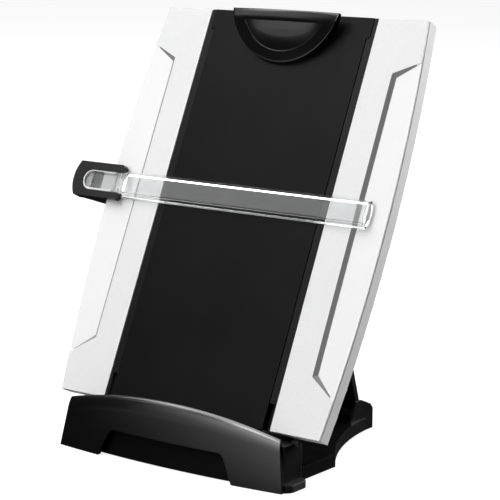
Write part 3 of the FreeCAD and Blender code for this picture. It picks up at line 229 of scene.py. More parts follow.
# How squarely a face looks out of the board, as a cosine, where a colour begins and where it is full: the band's
# painted highlight, then the wall's painted shade.
BAND_FACING = (0.998, 0.993)
WALL_FACING = (0.95, 0.85)
# Painted shade on the fold's steep wall, and a painted highlight on the band beside it, where the light falls on
# them.
WALL_PAINTED_SHADE = (0.25, 0.25, 0.254)
BAND_PAINTED_HIGHLIGHT = (0.885, 0.885, 0.885)


def painted_fold_light(tree, place, colour):
    """Painted shade darkens the fold's steep wall, and a painted highlight makes the band beside it a little
    paler.
    """
    facing = tree.along(tree.add("ShaderNodeTexCoord").outputs["Normal"], OUT)
    side = tree.math("ABSOLUTE", tree.across(place))
    inside = tree.math("GREATER_THAN", side, FOLD_INNER * MM)
    within = tree.math("MULTIPLY", inside, tree.math("LESS_THAN", side, FOLD_OUTER * MM))
    band = tree.math("MULTIPLY", tree.ramp(facing, *BAND_FACING), inside)
    wall = tree.math("MULTIPLY", tree.ramp(facing, *WALL_FACING), within)
    return tree.tint(wall, tree.tint(band, colour, BAND_PAINTED_HIGHLIGHT), WALL_PAINTED_SHADE)


def silver_paint(name, dark, light, gloss, fold_painted=False):
    """Silver-white paint with a fine metallic grain under a satin finish; for the wings, painted shade on the
    fold's wall and a painted highlight on the band beside it.
    """
    material, tree, place = new_material(name)
    flakes = tree.add("ShaderNodeTexVoronoi", {"Vector": place, "Scale": 2600.0})
    cloud = tree.noise(place, 9, 2)
    grain = tree.noise(place, 900, 3)
    level = tree.math("MULTIPLY_ADD", cloud, 0.35, tree.math("MULTIPLY", grain, 0.65))
    colour = tree.tint(tree.spread(level, 0, 1), dark, light)
    shader = tree.add("ShaderNodeBsdfPrincipled", {
        "Base Color": painted_fold_light(tree, place, colour) if fold_painted else colour,
        "Metallic": 0.06,
        "Roughness": tree.spread(flakes.outputs["Distance"], gloss[0], gloss[1]),
        "Specular IOR Level": 0.35,
        "Normal": tree.bump(grain, 0.00003),
    })
    close_material(tree, shader)
    return material


# The bar's thumb tab: its half width, and where it and its two pads end, in millimetres.
TAB_HALF = 8.2
TAB_ROOT = -127.0
TAB_RIM = 1.1
PAD_END = -151.3
PAD_START = -139.5
# How much of each place is frosted: the rim carries a painted highlight, and the pads are painted pale to stand in
# for what shows through the clear tab.
RIM_FROST_AND_HIGHLIGHT = 0.95
END_PAD_FROST_AND_PALE = 0.35
ROOT_PAD_FROST_AND_PALE = 0.55


def tab_frost_and_painted_light(tree, place):
    """The share of the frosted finish: a painted highlight on the tab's rim, and painted pale patches on the pads
    at its end and its root that stand in for what shows through the tab.
    """
    bar_end = board_box("guide_bar")[0].x
    pin_low, pin_high = board_box("guide_pins")
    middle = (pin_low.y + pin_high.y) / 2 + BOARD_ORIGIN.dot(UP)
    across = tree.across(place)
    end = tree.math("MINIMUM", tree.math("SUBTRACT", across, bar_end + TAB_HALF * MM), 0.0)
    offset = tree.math("SUBTRACT", tree.along(place, UP), middle)
    corner = tree.add("ShaderNodeCombineXYZ", {"X": end, "Y": offset}).outputs[0]
    radius = tree.add("ShaderNodeVectorMath", {0: corner}, operation="LENGTH").outputs["Value"]
    rim = tree.math("GREATER_THAN", radius, (TAB_HALF - TAB_RIM) * MM)
    end_pad = tree.math("LESS_THAN", across, PAD_END * MM)
    root_pad = tree.math("GREATER_THAN", across, PAD_START * MM)
    frost_and_paint_share = 0.0
    for mask, share in ((rim, RIM_FROST_AND_HIGHLIGHT), (end_pad, END_PAD_FROST_AND_PALE), (root_pad, ROOT_PAD_FROST_AND_PALE)):
        frost_and_paint_share = tree.math("MAXIMUM", tree.math("MULTIPLY", mask, share), frost_and_paint_share)
    return tree.math("MULTIPLY", frost_and_paint_share, tree.math("LESS_THAN", across, TAB_ROOT * MM))


def clear_plastic(name):
    """Clear acrylic with faint flow marks; the tab at the bar's end has a frosted rim with a painted highlight,
    and two frosted pads painted pale where the view through the tab shows.
    """
    material, tree, place = new_material(name)
    flow = tree.noise(place, 12, 1)
    clear = tree.add("ShaderNodeBsdfPrincipled", {
        "Base Color": (0.97, 0.985, 0.985, 1),
        "Roughness": 0.02,
        "IOR": 1.49,
        "Transmission Weight": 1.0,
        "Normal": tree.bump(flow, 0.00004, 0.2),
    })
    grain = tree.noise(place, 1400, 2)
    frosted_and_painted = tree.add("ShaderNodeBsdfPrincipled", {
        "Base Color": tree.tint(tree.spread(grain, 0, 1), (0.66, 0.67, 0.67), (0.80, 0.81, 0.81)),
        "Roughness": 0.35,
        "Normal": tree.bump(grain, 0.00003),
    })
    close_material(tree, tree.blend(tab_frost_and_painted_light(tree, place), clear, frosted_and_painted))
    return material


def white_gloss(name):
    """Melamine writing surface with faint wipe marks."""
    material, tree, place = new_material(name)
    stretch = tree.add("ShaderNodeMapping", {"Vector": place, "Scale": (60.0, 6.0, 6.0)})
    wipes = tree.noise(stretch.outputs[0], 3, 4)
    shader = tree.add("ShaderNodeBsdfPrincipled", {
        "Base Color": tree.tint(tree.spread(wipes, 0, 1), (0.78, 0.79, 0.78), (0.84, 0.84, 0.83)),
        "Roughness": tree.spread(wipes, 0.12, 0.26),
        "Normal": tree.bump(tree.noise(place, 500, 2), 0.00002),
    })
    close_material(tree, shader)
    return material


def felt(name):
    """Pressed felt: short fibres that scatter light at grazing angles."""
    material, tree, place = new_material(name)
    fibres = tree.add("ShaderNodeMapping", {"Vector": place, "Scale": (1.0, 0.4, 2.2)})
    fuzz = tree.noise(fibres.outputs[0], 2200, 4)
    shader = tree.add("ShaderNodeBsdfPrincipled", {
        "Base Color": tree.tint(tree.spread(fuzz, 0, 1), (0.008, 0.008, 0.009), (0.035, 0.035, 0.038)),
        "Roughness": 0.95,
        "Sheen Weight": 0.5,
        "Normal": tree.bump(fuzz, 0.0002),
    })
    close_material(tree, shader)
    return material


def zinc_steel(name):
    """Zinc-plated steel with turning marks and slight stains."""
    material, tree, place = new_material(name)
    marks = tree.noise(place, 1500, 3)
    stain = tree.noise(place, 180, 3)
    shader = tree.add("ShaderNodeBsdfPrincipled", {
        "Base Color": tree.tint(tree.spread(stain, 0, 1), (0.46, 0.46, 0.47), (0.62, 0.62, 0.61)),
        "Metallic": 1.0,
        "Roughness": tree.spread(stain, 0.22, 0.42),
        "Normal": tree.bump(marks, 0.00002),
    })
    close_material(tree, shader)
    return material


PIANO_BLACK = ((0.0015, 0.0015, 0.0016), (0.003, 0.003, 0.0031))
MATERIALS = {
    "gloss_black": moulded_plastic(
        "gloss_black", *PIANO_BLACK, gloss=(0.11, 0.16), grain=0.0012, grain_depth=0.000005),
    "fork_black": moulded_plastic(
        "fork_black", *PIANO_BLACK, gloss=(0.13, 0.18), grain=0.0012, grain_depth=0.000005,
        specular=0.3),
    "skirt_black": moulded_plastic(
        "skirt_black", *PIANO_BLACK, gloss=(0.17, 0.21), grain=0.0012, grain_depth=0.000004,
        specular=0.9),
    "satin_black": moulded_plastic(
        "satin_black", (0.001, 0.001, 0.0011), (0.003, 0.003, 0.0031),
        gloss=(0.32, 0.45), grain=0.0004, grain_depth=0.00003, specular=0.2),
    "matt_black": moulded_plastic(
        "matt_black", (0.002, 0.002, 0.0021), (0.005, 0.005, 0.0051),
        gloss=(0.34, 0.42), grain=0.0006, grain_depth=0.00006, specular=0.07),
    "frame_black": moulded_plastic(
        "frame_black", (0.002, 0.002, 0.0021), (0.004, 0.004, 0.0041),
        gloss=(0.34, 0.44), grain=0.0005, grain_depth=0.00003, specular=0.12),
    # A darker, duller black for the recess panel: painted shade in the recess behind the skirt's cut-out.
    "recess_shade_black": moulded_plastic(
        "recess_shade_black", (0.0008, 0.0008, 0.0008), (0.002, 0.002, 0.002),
        gloss=(0.45, 0.60), grain=0.0005, grain_depth=0.00003, specular=0.08),
    # The wings' paint has painted shade on the folds' walls and a painted highlight on the bands beside them.
    "silver_front": silver_paint(
        "silver_front", (0.735, 0.735, 0.74), (0.815, 0.815, 0.815), gloss=(0.42, 0.56), fold_painted=True),
    "silver_shell": silver_paint(
        "silver_shell", (0.74, 0.74, 0.745), (0.82, 0.82, 0.82), gloss=(0.56, 0.70)),
    "white_board": white_gloss("white_board"),
    "clear_plastic": clear_plastic("clear_plastic"),
    "rubber": moulded_plastic(
        "rubber", (0.006, 0.006, 0.006), (0.012, 0.012, 0.012),
        gloss=(0.65, 0.85), grain=0.0005, grain_depth=0.00008, specular=0.3),
    "felt": felt("felt"),
    "steel": zinc_steel("steel"),
    "rail_plastic": moulded_plastic(
        "rail_plastic", (0.008, 0.008, 0.008), (0.014, 0.014, 0.014),
        gloss=(0.30, 0.42), grain=0.0005, grain_depth=0.00002),
}


# ---------------------------------------------------------------- mesh finish

# Angles in degrees, lengths in millimetres.
SHARP_ANGLE = 28
BEVEL_ANGLE = 35
BEVEL_STEPS = 3
WELD_REACH = 0.002
FLAT_ANGLE = 0.5


def new_group(name):
    """An empty geometry node group, and the tree to fill it."""
    group = bpy.data.node_groups.new(name, "GeometryNodeTree")
    group.interface.new_socket("Geometry", in_out="INPUT", socket_type="NodeSocketGeometry")
    group.interface.new_socket("Geometry", in_out="OUTPUT", socket_type="NodeSocketGeometry")
    return group, Nodes(group)


def smooth_group():
    """A modifier that shades a mesh smooth but keeps edges above an angle sharp."""
    group, tree = new_group("smooth_by_angle")
    source = tree.add("NodeGroupInput")
    angle = tree.add("GeometryNodeInputMeshEdgeAngle")
    sharp = tree.math("GREATER_THAN", angle.outputs["Unsigned Angle"], math.radians(SHARP_ANGLE))
    faces = tree.add("GeometryNodeSetShadeSmooth", {"Geometry": source.outputs[0]}, domain="FACE")
    edges = tree.add("GeometryNodeSetShadeSmooth", {
        "Geometry": faces.outputs[0], "Selection": sharp, "Shade Smooth": False,
    }, domain="EDGE")
    sink = tree.add("NodeGroupOutput")
    group.links.new(edges.outputs[0], sink.inputs[0])
    return group


# The foot of a wing's fold: its place and depth in the CAD wing, and how near to it a point belongs to it.
FOLD_FOOT = 106.5
FOLD_DEPTH = 3.0
FOLD_NEAR = 0.2
# How far it is moved: outwards, off the board and towards the middle of the wing's length.
FOLD_SPREAD = 1.5
FOLD_LIFT = 0.3
FOLD_RUN = 1.4


def fold_group():
    """A modifier that lets the walls of the wings' folds lean out a little more."""
    group, tree = new_group("fold_lean")
    source = tree.add("NodeGroupInput")
    place = tree.add("GeometryNodeInputPosition").outputs[0]
    across = tree.across(place)
    foot = reach("right_wing", OUT)[1] - FOLD_DEPTH * MM
    aside = tree.math("ABSOLUTE", tree.math("SUBTRACT", tree.math("ABSOLUTE", across), FOLD_FOOT * MM))
    above = tree.math("ABSOLUTE", tree.math("SUBTRACT", tree.along(place, OUT), foot))
    chosen = tree.math("LESS_THAN", tree.math("ADD", aside, above), FOLD_NEAR * MM)
    outwards = tree.math("MULTIPLY", tree.math("SIGN", across), FOLD_SPREAD * MM)
    lift = OUT * FOLD_LIFT * MM
    aslant = tree.add("ShaderNodeCombineXYZ", {"X": outwards, "Y": lift.y, "Z": lift.z})
    middle = sum(reach("right_wing", UP)) / 2
    inwards = tree.math("SIGN", tree.math("SUBTRACT", middle, tree.along(place, UP)))
    run = tree.add("ShaderNodeVectorMath", {
        0: tuple(UP * FOLD_RUN * MM), "Scale": inwards,
    }, operation="SCALE")
    offset = tree.add("ShaderNodeVectorMath", {0: aslant.outputs[0], 1: run.outputs[0]}, operation="ADD")
    moved = tree.add("GeometryNodeSetPosition", {
        "Geometry": source.outputs[0], "Selection": chosen, "Offset": offset.outputs[0],
    })
    sink = tree.add("NodeGroupOutput")
    group.links.new(moved.outputs[0], sink.inputs[0])
    return group


SMOOTH = smooth_group()
FOLD_LEAN = fold_group()
WINGS = ("left_wing", "right_wing")


def add_smooth(piece):
    modifier = piece.modifiers.new("smooth", "NODES")
    modifier.node_group = SMOOTH
    flats = piece.modifiers.new("flat_normals", "WEIGHTED_NORMAL")
    flats.keep_sharp = True


def add_bevel(piece, edge, angle):
    bevel = piece.modifiers.new("edges", "BEVEL")
    bevel.width = edge * MM
    bevel.segments = BEVEL_STEPS
    bevel.limit_method = "ANGLE"
    bevel.angle_limit = math.radians(angle)
    bevel.harden_normals = False


def clear_normals(mesh):
    """Drops the imported normals, so that the modifiers' own shading shows."""
    if "custom_normal" in mesh.attributes:
        mesh.attributes.remove(mesh.attributes["custom_normal"])


def finish_node(name, finish, edge):
    """Gives a CAD node its material, and edges rounded by a few tenths of a millimetre."""
    piece = nodes[name]
    piece.data.materials.clear()
    piece.data.materials.append(MATERIALS[finish])
    clear_normals(piece.data)
    weld = piece.modifiers.new("weld", "WELD")
    weld.merge_threshold = WELD_REACH * MM
    flat = piece.modifiers.new("flat_faces", "DECIMATE")
    flat.decimate_type = "DISSOLVE"
    flat.angle_limit = math.radians(FLAT_ANGLE)
    if name in WINGS:
        lean = piece.modifiers.new("fold_lean", "NODES")
        lean.node_group = FOLD_LEAN
    add_bevel(piece, edge, BEVEL_ANGLE)
    add_smooth(piece)


# ---------------------------------------------------------------- mesh building

def new_piece(name, points, faces, body, slot, stands_for, edge=0.0, edge_angle=BEVEL_ANGLE, finish=None):
    """A new mesh piece, in metres, that takes the place of CAD nodes."""
    mesh = bpy.data.meshes.new(name)
    mesh.from_pydata(points, [], faces)
    mesh.update()
    work = bmesh.new()
    work.from_mesh(mesh)
    bmesh.ops.recalc_face_normals(work, faces=work.faces)
    work.to_mesh(mesh)
    work.free()
    mesh.materials.append(MATERIALS[finish or slot])
    piece = bpy.data.objects.new(name, mesh)
    bpy.context.scene.collection.objects.link(piece)
    if edge:
        add_bevel(piece, edge, edge_angle)
    add_smooth(piece)
    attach(piece, body)
    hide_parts(*stands_for)


def capped_faces(rings, count, start=0):
    """Quads between neighbouring closed rings of points, and a cap on the first and the last ring.

    Each ring has the same count of points, and the first point is number start.
    """
    faces = []
    for ring in range(rings - 1):
        near = start + ring * count
        far = near + count
        for place in range(count):
            following = (place + 1) % count
            faces.append((near + place, near + following, far + following, far + place))
    last = start + (rings - 1) * count
    faces.append(tuple(range(start, start + count)))
    faces.append(tuple(range(last, last + count)))
    return faces


# ---------------------------------------------------------------- skirt

# Sizes in millimetres, angles in degrees. The crest rolls back by SKIRT_ROLL of its height.
SKIRT_WALL = 3.0
SKIRT_BOW = 7.0
SKIRT_CREST = 12.0
SKIRT_CREST_END = 8.0
SKIRT_ROLL = 0.32
SKIRT_TOP_WALL = 0.9
SKIRT_LIP = 0.7
CUTOUT_FOOT = 64.5
CUTOUT_HALF = 56.0
CUTOUT_HEIGHT = 22.0
CUTOUT_ROUND = 5.0
CUTOUT_DROP = 0.55
SKIRT_COLUMNS = 120
SKIRT_ROWS = 26
SKIRT_EDGE = 0.35
SKIRT_EDGE_ANGLE = 50
CORNER_MARKS = 8
# How the CAD skirt is read: points this close lie level, and its ends are this wide and above this height.
LEVEL_REACH = 0.01
END_WIDTH = 9
END_HEIGHT = 30


class Skirt:
    """The skirt's surfaces in millimetres. Its outer sizes are read from its CAD node."""

    def __init__(self):
        low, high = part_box("front_skirt")
        points = [vertex.co / MM for vertex in nodes["front_skirt"].data.vertices]
        self.foot = low.z / MM
        self.peak = high.z / MM
        at_foot = [point for point in points if point.z < self.foot + LEVEL_REACH]
        self.half = max(point.x for point in at_foot)
        ends = [point for point in points if abs(point.x) > self.half - END_WIDTH and point.z > END_HEIGHT]
        self.end = max(point.z for point in ends)
        at_end = [point for point in ends if point.z > self.end - LEVEL_REACH]
        self.top_half = max(point.x for point in at_end)
        self.front = min(point.y for point in at_foot if point.x > self.half - LEVEL_REACH)
        self.lean = (min(point.y for point in at_end) - self.front) / (self.end - self.foot)
        self.taper = (self.half - self.top_half) / (self.end - self.foot)
        rise = self.peak - self.end
        self.radius = (self.top_half ** 2 + rise ** 2) / (2 * rise)

    def half_at(self, z):
        return self.half - self.taper * (min(z, self.end) - self.foot)

    def face_y(self, x, z):
        """The bowed and leaning front."""
        share = min(abs(x) / self.half_at(z), 1)
        return self.front + self.lean * (z - self.foot) - SKIRT_BOW * (1 - share * share)

    def top_at(self, x):
        return self.peak - self.radius + math.sqrt(self.radius ** 2 - x * x)

    def low_at(self, x):
        """The lower edge: the desk rim at the ends, and the cut-out between them."""
        x = abs(x)
        bend = CUTOUT_HALF - CUTOUT_ROUND
        corner = CUTOUT_HEIGHT - CUTOUT_ROUND * CUTOUT_DROP
        if x >= CUTOUT_FOOT:
            return self.foot
        if x >= CUTOUT_HALF:
            side = (CUTOUT_FOOT - x) / (CUTOUT_FOOT - CUTOUT_HALF) * CUTOUT_HEIGHT
            return max(self.foot, min(side, corner))
        if x <= bend:
            return CUTOUT_HEIGHT
        across = (x - bend) / CUTOUT_ROUND
        return CUTOUT_HEIGHT - (CUTOUT_HEIGHT - corner) * (1 - math.sqrt(1 - across * across))

    def column(self, share):
        """One closed section of the wall: up its face, over the crest and down its back."""
        bottom = self.low_at(share * self.half_at(self.foot))
        top = self.top_at(share * self.top_half)
        crest = SKIRT_CREST + (SKIRT_CREST_END - SKIRT_CREST) * share * share
        front, back = [], []
        for row in range(SKIRT_ROWS + 1):
            z = bottom + (top - bottom) * math.sin(math.pi / 2 * row / SKIRT_ROWS)
            x = share * self.half_at(z)
            into = min(max((z - top + crest) / crest, 0), 1)
            roll = SKIRT_ROLL * crest * (1 - math.sqrt(1 - into * into))
            y = self.face_y(x, z)
            front.append((x, y + roll, z))
            back.append((x, y + max(SKIRT_WALL, roll + SKIRT_TOP_WALL), min(z, top - SKIRT_LIP)))
        return front + back[::-1]

    def shares(self):
        """The columns' shares of the half width, close together where the cut-out's edge is steep."""
        marks = set()
        for step in range(SKIRT_COLUMNS + 1):
            marks.add(round(step / SKIRT_COLUMNS, 5))
        for edge in (CUTOUT_HALF - CUTOUT_ROUND, CUTOUT_HALF, CUTOUT_FOOT):
            marks.add(round(edge / self.half, 5))
        for step in range(1, CORNER_MARKS):
            into = math.cos(step * math.pi / (2 * CORNER_MARKS)) ** 4
            marks.add(round((CUTOUT_HALF - CUTOUT_ROUND * into) / self.half, 5))
        ordered = sorted(marks)
        return [-share for share in ordered[:0:-1]] + ordered


def build_skirt():
    """The skirt with its bow, its rolled crest, the cut-out at its foot and a thin top lip."""
    skirt = Skirt()
    rings = [skirt.column(share) for share in skirt.shares()]
    points = [tuple(value * MM for value in point) for ring in rings for point in ring]
    new_piece(
        "front_skirt_shell", points, capped_faces(len(rings), len(rings[0])), "base", "gloss_black",
        ["front_skirt"], SKIRT_EDGE, SKIRT_EDGE_ANGLE, "skirt_black",
    )


# ---------------------------------------------------------------- clip

# Sizes in millimetres in the board frame: first the cover, then its rim, the dish and the inside.
CLIP_TOP_POINTS = 48
CLIP_ARC_POINTS = 96
CLIP_WALL = 1.8
CLIP_BACK = 0.6
CLIP_LOW = 4.0
CLIP_SAG = 1.5
CLIP_PROUD = 1.2
CLIP_ROLL = 8.0
CLIP_COVER = 2.7
CLIP_RELIEF_RUN = 19.0
RIM_RINGS = 7
RIM_INSET = 0.3
RIM_DROP = 0.1
RIM_LEAD = 0.15
RIM_TOP_SHARE = 0.9
DISH_HALF = 38.0
DISH_LOW = 8.6
DISH_HIGH = 8.0
DISH_TOP_DEPTH = 2.2
DISH_LOW_DEPTH = 0.5
DISH_TOP_SHARE = 0.6
DISH_DROP = 0.08
DISH_BEND = ((0.12, 0.6), (0.3, 0.95), (0.6, 1.0))
DISH_STEP = 1.5
DISH_STEPS = 8
UNDER_LEAN = 0.4
UNDER_GAP = 1.0
UNDER_LEAST = 0.3
# The hinge lugs: how far out each begins and ends, its eye's radius and the cover above it.
LUG_INNER = 9.0
LUG_OUTER = 12.0
LUG_EYE = 2.6
LUG_COVER = 2.2
LUG_STEPS = 12


def half_disc(half, top, tip):
    """A half-disc outline: along the top edge to the left, then round the arc to the right."""
    rise = top - tip
    radius = (half * half + rise * rise) / (2 * rise)
    centre = tip + radius
    start = math.atan2(top - centre, -half)
    if start < 0:
        start += 2 * math.pi
    sweep = 2 * (1.5 * math.pi - start)
    outline = []
    for step in range(CLIP_TOP_POINTS):
        outline.append((half - 2 * half * step / CLIP_TOP_POINTS, top))
    for step in range(CLIP_ARC_POINTS):
        angle = start + sweep * step / CLIP_ARC_POINTS
        outline.append((radius * math.cos(angle), centre + radius * math.sin(angle)))
    return outline


def between(first, last, share):
    """The outline that lies at a share of the way from one outline to another."""
    return [(a[0] + (b[0] - a[0]) * share, a[1] + (b[1] - a[1]) * share) for a, b in zip(first, last)]


class Clip:
    """The clip's surfaces in millimetres in the board frame. Its outer sizes are read from its CAD node."""

    def __init__(self):
        low, high = board_box("clip_lever")
        self.half = high.x / MM
        self.top = high.y / MM
        self.tip = low.y / MM
        self.rise = (high.z / MM + CLIP_PROUD - CLIP_LOW) / (self.top - self.tip)
        self.relief = high.z / MM - CLIP_COVER
        self.dish_top = self.top - DISH_HIGH
        self.dish_run = self.dish_top - self.tip - DISH_LOW

    def surface(self, x, s):
        """The front: it rises to the top edge, rolls over there and falls a little to each side."""
        past = max(0.0, s - self.top + CLIP_ROLL)
        sag = CLIP_SAG * (x / self.half) ** 2 * (s - self.tip) / (self.top - self.tip)
        return CLIP_LOW + self.rise * (s - self.tip - past * past / (2 * CLIP_ROLL)) - sag

    def bottom(self, s):
        """The lower edge of the cover's rim, which rises over the bracket."""
        share = max(0.0, (s - self.top + CLIP_RELIEF_RUN) / CLIP_RELIEF_RUN)
        return CLIP_BACK + (self.relief - CLIP_SAG - CLIP_BACK) * share

    def ceiling(self, x, s):
        """The inside of the cover, below the dish."""
        return max(self.bottom(s) + UNDER_LEAST, self.surface(x, s) - DISH_TOP_DEPTH - UNDER_GAP)

    def depth(self, x, s):
        """The dish is deepest under the middle of its straight upper edge."""
        share = min(max((self.dish_top - s) / self.dish_run, 0), 1)
        bowl = (1 - share) ** 2 * (1 - (x / DISH_HALF) ** 2)
        return DISH_LOW_DEPTH + (DISH_TOP_DEPTH - DISH_LOW_DEPTH) * bowl

    def inset(self, distance):
        return half_disc(self.half - distance, self.top - distance * RIM_TOP_SHARE, self.tip + distance)

    def dish(self, distance):
        upper = self.dish_top - distance * DISH_TOP_SHARE
        return half_disc(DISH_HALF - distance, upper, self.tip + DISH_LOW + distance)

    def level(self, outline, drop):
        return [(x, s, self.surface(x, s) - drop) for x, s in outline]

    def hollow(self, outline, share):
        return [(x, s, self.surface(x, s) - self.depth(x, s) * share) for x, s in outline]

    def rings(self):
        """From the middle of the inside out to the rim, then over the front and into the dish."""
        outer = half_disc(self.half, self.top, self.tip)
        inner = self.inset(RIM_INSET)
        verge = self.dish(-RIM_LEAD)
        rings = [
            [(x, s, self.ceiling(x, s)) for x, s in self.inset(CLIP_WALL + UNDER_LEAN)],
            [(x, s, self.bottom(s)) for x, s in self.inset(CLIP_WALL)],
            [(x, s, self.bottom(s)) for x, s in outer],
            self.level(outer, RIM_DROP),
        ]
        for step in range(RIM_RINGS + 1):
            rings.append(self.level(between(inner, verge, step / RIM_RINGS), 0))
        rings.append(self.level(self.dish(0), DISH_DROP))
        for distance, share in DISH_BEND:
            rings.append(self.hollow(self.dish(distance), share))
        for step in range(1, DISH_STEPS + 1):
            rings.append(self.hollow(self.dish(DISH_STEP * step), 1))
        return rings

    def lug(self, sign):
        """A hinge lug under the cover, round at its eye: its profile on its inner and outer side."""
        pin_low, pin_high = board_box("clip_pin")
        s = (pin_low.y + pin_high.y) / 2 / MM
        n = (pin_low.z + pin_high.z) / 2 / MM
        profile = []
        for step in range(LUG_STEPS + 1):
            angle = math.pi + math.pi * step / LUG_STEPS
            profile.append((s + LUG_EYE * math.cos(angle), n + LUG_EYE * math.sin(angle)))
        for side in (1, -1):
            edge = s + side * LUG_EYE
            profile.append((edge, self.surface(0, edge) - LUG_COVER))
        return [[(x * sign, up, out) for up, out in profile] for x in (LUG_INNER, LUG_OUTER)]


def build_clip():
    """The clip's cover with its rolled top band and its bowl-shaped dish, and its two hinge lugs."""
    clip = Clip()
    points, faces = [], []
    for rings in (clip.rings(), clip.lug(-1), clip.lug(1)):
        faces += capped_faces(len(rings), len(rings[0]), len(points))
        points += [tuple(BOARD @ (Vector(point) * MM)) for ring in rings for point in ring]
    new_piece("clip_lever_shell", points, faces, "clip", "gloss_black", ["clip_lever"])


# ---------------------------------------------------------------- surroundings

# The world's level low and high up, between these heights of a ray, and its share on the right.
WORLD_LOW = 0.024
WORLD_HIGH = 0.48
WORLD_RISE = (0.35, 0.9)
WORLD_RIGHT = 0.2
WORLD_TURN = (-0.1, 0.5)
FLOOR_HALF = 12
FLOOR_COLOUR = 0.35
FLOOR_GRAIN = 0.01
FLOOR_GLOW = 0.84
# The floor's painted glow in glossy reflections, dark round the object as painted shade: how it grows per metre,
# where it starts behind, its least.
GLOSS_RIGHT = 0.5
GLOSS_DEPTH = 0.7
GLOSS_BACK = 0.38
GLOSS_LEAST = 0.02
# The share of the background that lights what lies under clear plastic.
UNDER_PLASTIC = 0.3


def background_rays(tree, path):
    """1 for a ray that meets the white background: from the camera, or straight through clear plastic."""
    deep = tree.math("GREATER_THAN", path["Transmission Depth"], 0.5)
    through = tree.math("ADD", deep, path["Is Transmission Ray"], clamp=True)
    unscattered = tree.math("LESS_THAN", path["Diffuse Depth"], 0.5)
    through = tree.math("MULTIPLY", through, tree.math("MAXIMUM", unscattered, UNDER_PLASTIC))
    return tree.math("ADD", path["Is Camera Ray"], through, clamp=True)


def add_world():
    """A soft studio, dark low down and on the right and paler overhead; the camera sees it white."""
    world = bpy.data.worlds.new("studio")
    bpy.context.scene.world = world
    world.use_nodes = True
    tree = Nodes(world.node_tree)
    direction = tree.add("ShaderNodeTexCoord").outputs["Generated"]
    axes = tree.add("ShaderNodeSeparateXYZ", {"Vector": direction})
    height = tree.add("ShaderNodeMapRange", {
        "Value": axes.outputs["Z"], "From Min": WORLD_RISE[0], "From Max": WORLD_RISE[1],
        "To Min": WORLD_LOW, "To Max": WORLD_HIGH,
    }, interpolation_type="SMOOTHSTEP")
    side = tree.add("ShaderNodeMapRange", {
        "Value": axes.outputs["X"], "From Min": WORLD_TURN[0], "From Max": WORLD_TURN[1],
        "To Min": 1.0, "To Max": WORLD_RIGHT,
    }, interpolation_type="SMOOTHSTEP")
    ramp = tree.math("MULTIPLY", height.outputs["Result"], side.outputs["Result"])
    seen = background_rays(tree, tree.add("ShaderNodeLightPath").outputs)
    background = tree.add("ShaderNodeBackground", {
        "Color": (1, 1, 1, 1), "Strength": tree.math("MAXIMUM", seen, ramp),
    })
    tree.add("ShaderNodeOutputWorld", {"Surface": background.outputs[0]})


def painted_floor_glow(tree, place):
    """In glossy reflections the floor is a painted glow: dark round the object as painted shade, and paler away
    from it and towards the right.
    """
    axes = tree.add("ShaderNodeSeparateXYZ", {"Vector": place})
    across = tree.math("MULTIPLY", axes.outputs["X"], GLOSS_RIGHT)
    front = tree.math("MULTIPLY_ADD", axes.outputs["Y"], -GLOSS_DEPTH, across)
    back = tree.math("MULTIPLY_ADD", axes.outputs["Y"], GLOSS_DEPTH, -GLOSS_BACK)
    level = tree.math("MAXIMUM", tree.math("MAXIMUM", front, back), GLOSS_LEAST)
    return tree.add("ShaderNodeEmission", {"Strength": tree.math("MINIMUM", level, 1.0)})


def add_floor():
    """A pale floor that keeps the object's shadow and is nearly white to the camera."""
    mesh = bpy.data.meshes.new("floor")
    corners = [(x * FLOOR_HALF, y * FLOOR_HALF, 0) for x, y in ((-1, -1), (1, -1), (1, 1), (-1, 1))]
    mesh.from_pydata(corners, [], [(0, 1, 2, 3)])
    floor = bpy.data.objects.new("floor", mesh)
    bpy.context.scene.collection.objects.link(floor)
    material, tree, place = new_material("floor")
    path = tree.add("ShaderNodeLightPath").outputs
    seen = background_rays(tree, path)
    grey = tree.spread(tree.noise(place, 900, 2), FLOOR_COLOUR - FLOOR_GRAIN, FLOOR_COLOUR + FLOOR_GRAIN)
    colour = tree.add("ShaderNodeCombineColor", {"Red": grey, "Green": grey, "Blue": grey})
    diffuse = tree.add("ShaderNodeBsdfDiffuse", {"Color": colour.outputs[0]})
    glow = tree.add("ShaderNodeEmission", {"Strength": tree.math("MULTIPLY", seen, FLOOR_GLOW)})
    lit = tree.add("ShaderNodeAddShader")
    tree.tree.links.new(diffuse.outputs[0], lit.inputs[0])
    tree.tree.links.new(glow.outputs[0], lit.inputs[1])
    glossy = tree.math("SUBTRACT", path["Is Glossy Ray"], seen, clamp=True)
    close_material(tree, tree.blend(glossy, lit, painted_floor_glow(tree, place)))
    mesh.materials.append(material)


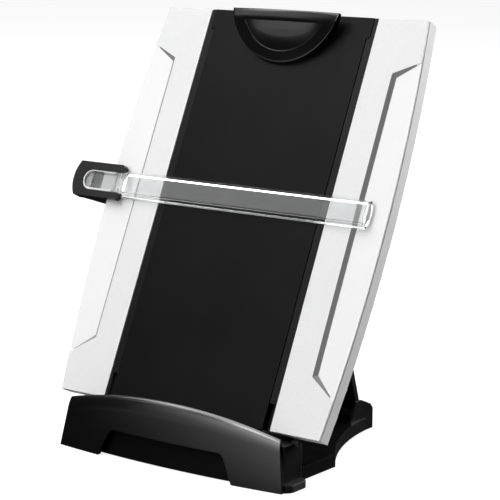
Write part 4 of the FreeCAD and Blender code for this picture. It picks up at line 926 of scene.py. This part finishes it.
def fade_light(data, shares):
    """Lets a light fall towards its left end and its lower edge, to these shares of the full level."""
    data.use_nodes = True
    tree = Nodes(data.node_tree)
    spot = tree.add("ShaderNodeNewGeometry").outputs["Parametric"]
    spot = tree.add("ShaderNodeSeparateXYZ", {"Vector": spot})
    level = 1.0
    for axis, share in zip("XY", shares):
        ramp = tree.add("ShaderNodeMapRange", {
            "Value": spot.outputs[axis], "To Min": share, "To Max": 1.0,
        }, interpolation_type="SMOOTHSTEP")
        level = tree.math("MULTIPLY", ramp.outputs["Result"], level)
    glow = tree.add("ShaderNodeEmission", {"Strength": level})
    tree.add("ShaderNodeOutputLight", {"Surface": glow.outputs[0]})


def add_softbox(name, azimuth, elevation, distance, width, height, radiance, fade=None):
    """An area light that faces the object. Azimuth 0 is in front and 90 at its right."""
    a, e = math.radians(azimuth), math.radians(elevation)
    away = Vector((math.sin(a) * math.cos(e), -math.cos(a) * math.cos(e), math.sin(e)))
    data = bpy.data.lights.new(name, "AREA")
    data.shape = "RECTANGLE"
    data.size = width
    data.size_y = height
    data.energy = radiance * math.pi * width * height
    if fade:
        fade_light(data, fade)
    light = bpy.data.objects.new(name, data)
    bpy.context.scene.collection.objects.link(light)
    light.visible_camera = False
    centre = (cad_low + cad_high) / 2
    light.location = centre + away * distance
    light.rotation_euler = (-away).to_track_quat("-Z", "Y").to_euler()


add_camera()
add_world()
add_floor()
# Azimuth, elevation, distance, width, height and radiance of each light, in degrees and metres.
# The low one fades to its left and downwards.
add_softbox("key", -52, 58, 3.6, 2.8, 2.4, 4.35)
add_softbox("front_fill", -44, 30.5, 2.4, 0.62, 0.5, 1.4)
add_softbox("clip_glint", -49, 40, 2.4, 0.26, 0.4, 7.0)
add_softbox("skirt_glint", -18, 36, 2.4, 0.46, 0.66, 12.0)
add_softbox("low_right", -20, 6.3, 1.0, 0.8, 0.5, 4.6, (0.1, 0.3))
add_softbox("right_back", 155, 17, 3.0, 1.6, 1.4, 14.5)
build_skirt()
build_clip()

# The nodes that have a shape of their own above, and the width of the other nodes' edges in millimetres.
OWN_SHAPES = ("front_skirt", "clip_lever")
EDGE = 0.25
EDGES = {
    "left_wing": 0.45, "right_wing": 0.45, "slider_housing": 0.5, "slider_jaw": 0.6, "guide_bar": 0.22,
    "base_tray": 0.6, "back_shell": 0.3,
}
# The recess panel takes the darker black, as painted shade.
FINISHES = {"centre_frame": "frame_black", "recess_panel": "recess_shade_black", "slider_housing": "fork_black"}
for part in frame["record"]["subparts"]:
    name = part["node"]
    if name not in OWN_SHAPES:
        finish_node(name, FINISHES.get(name, part["material_slot"]), EDGES.get(name, EDGE))

bpy.context.scene.view_settings.view_transform = "Standard"
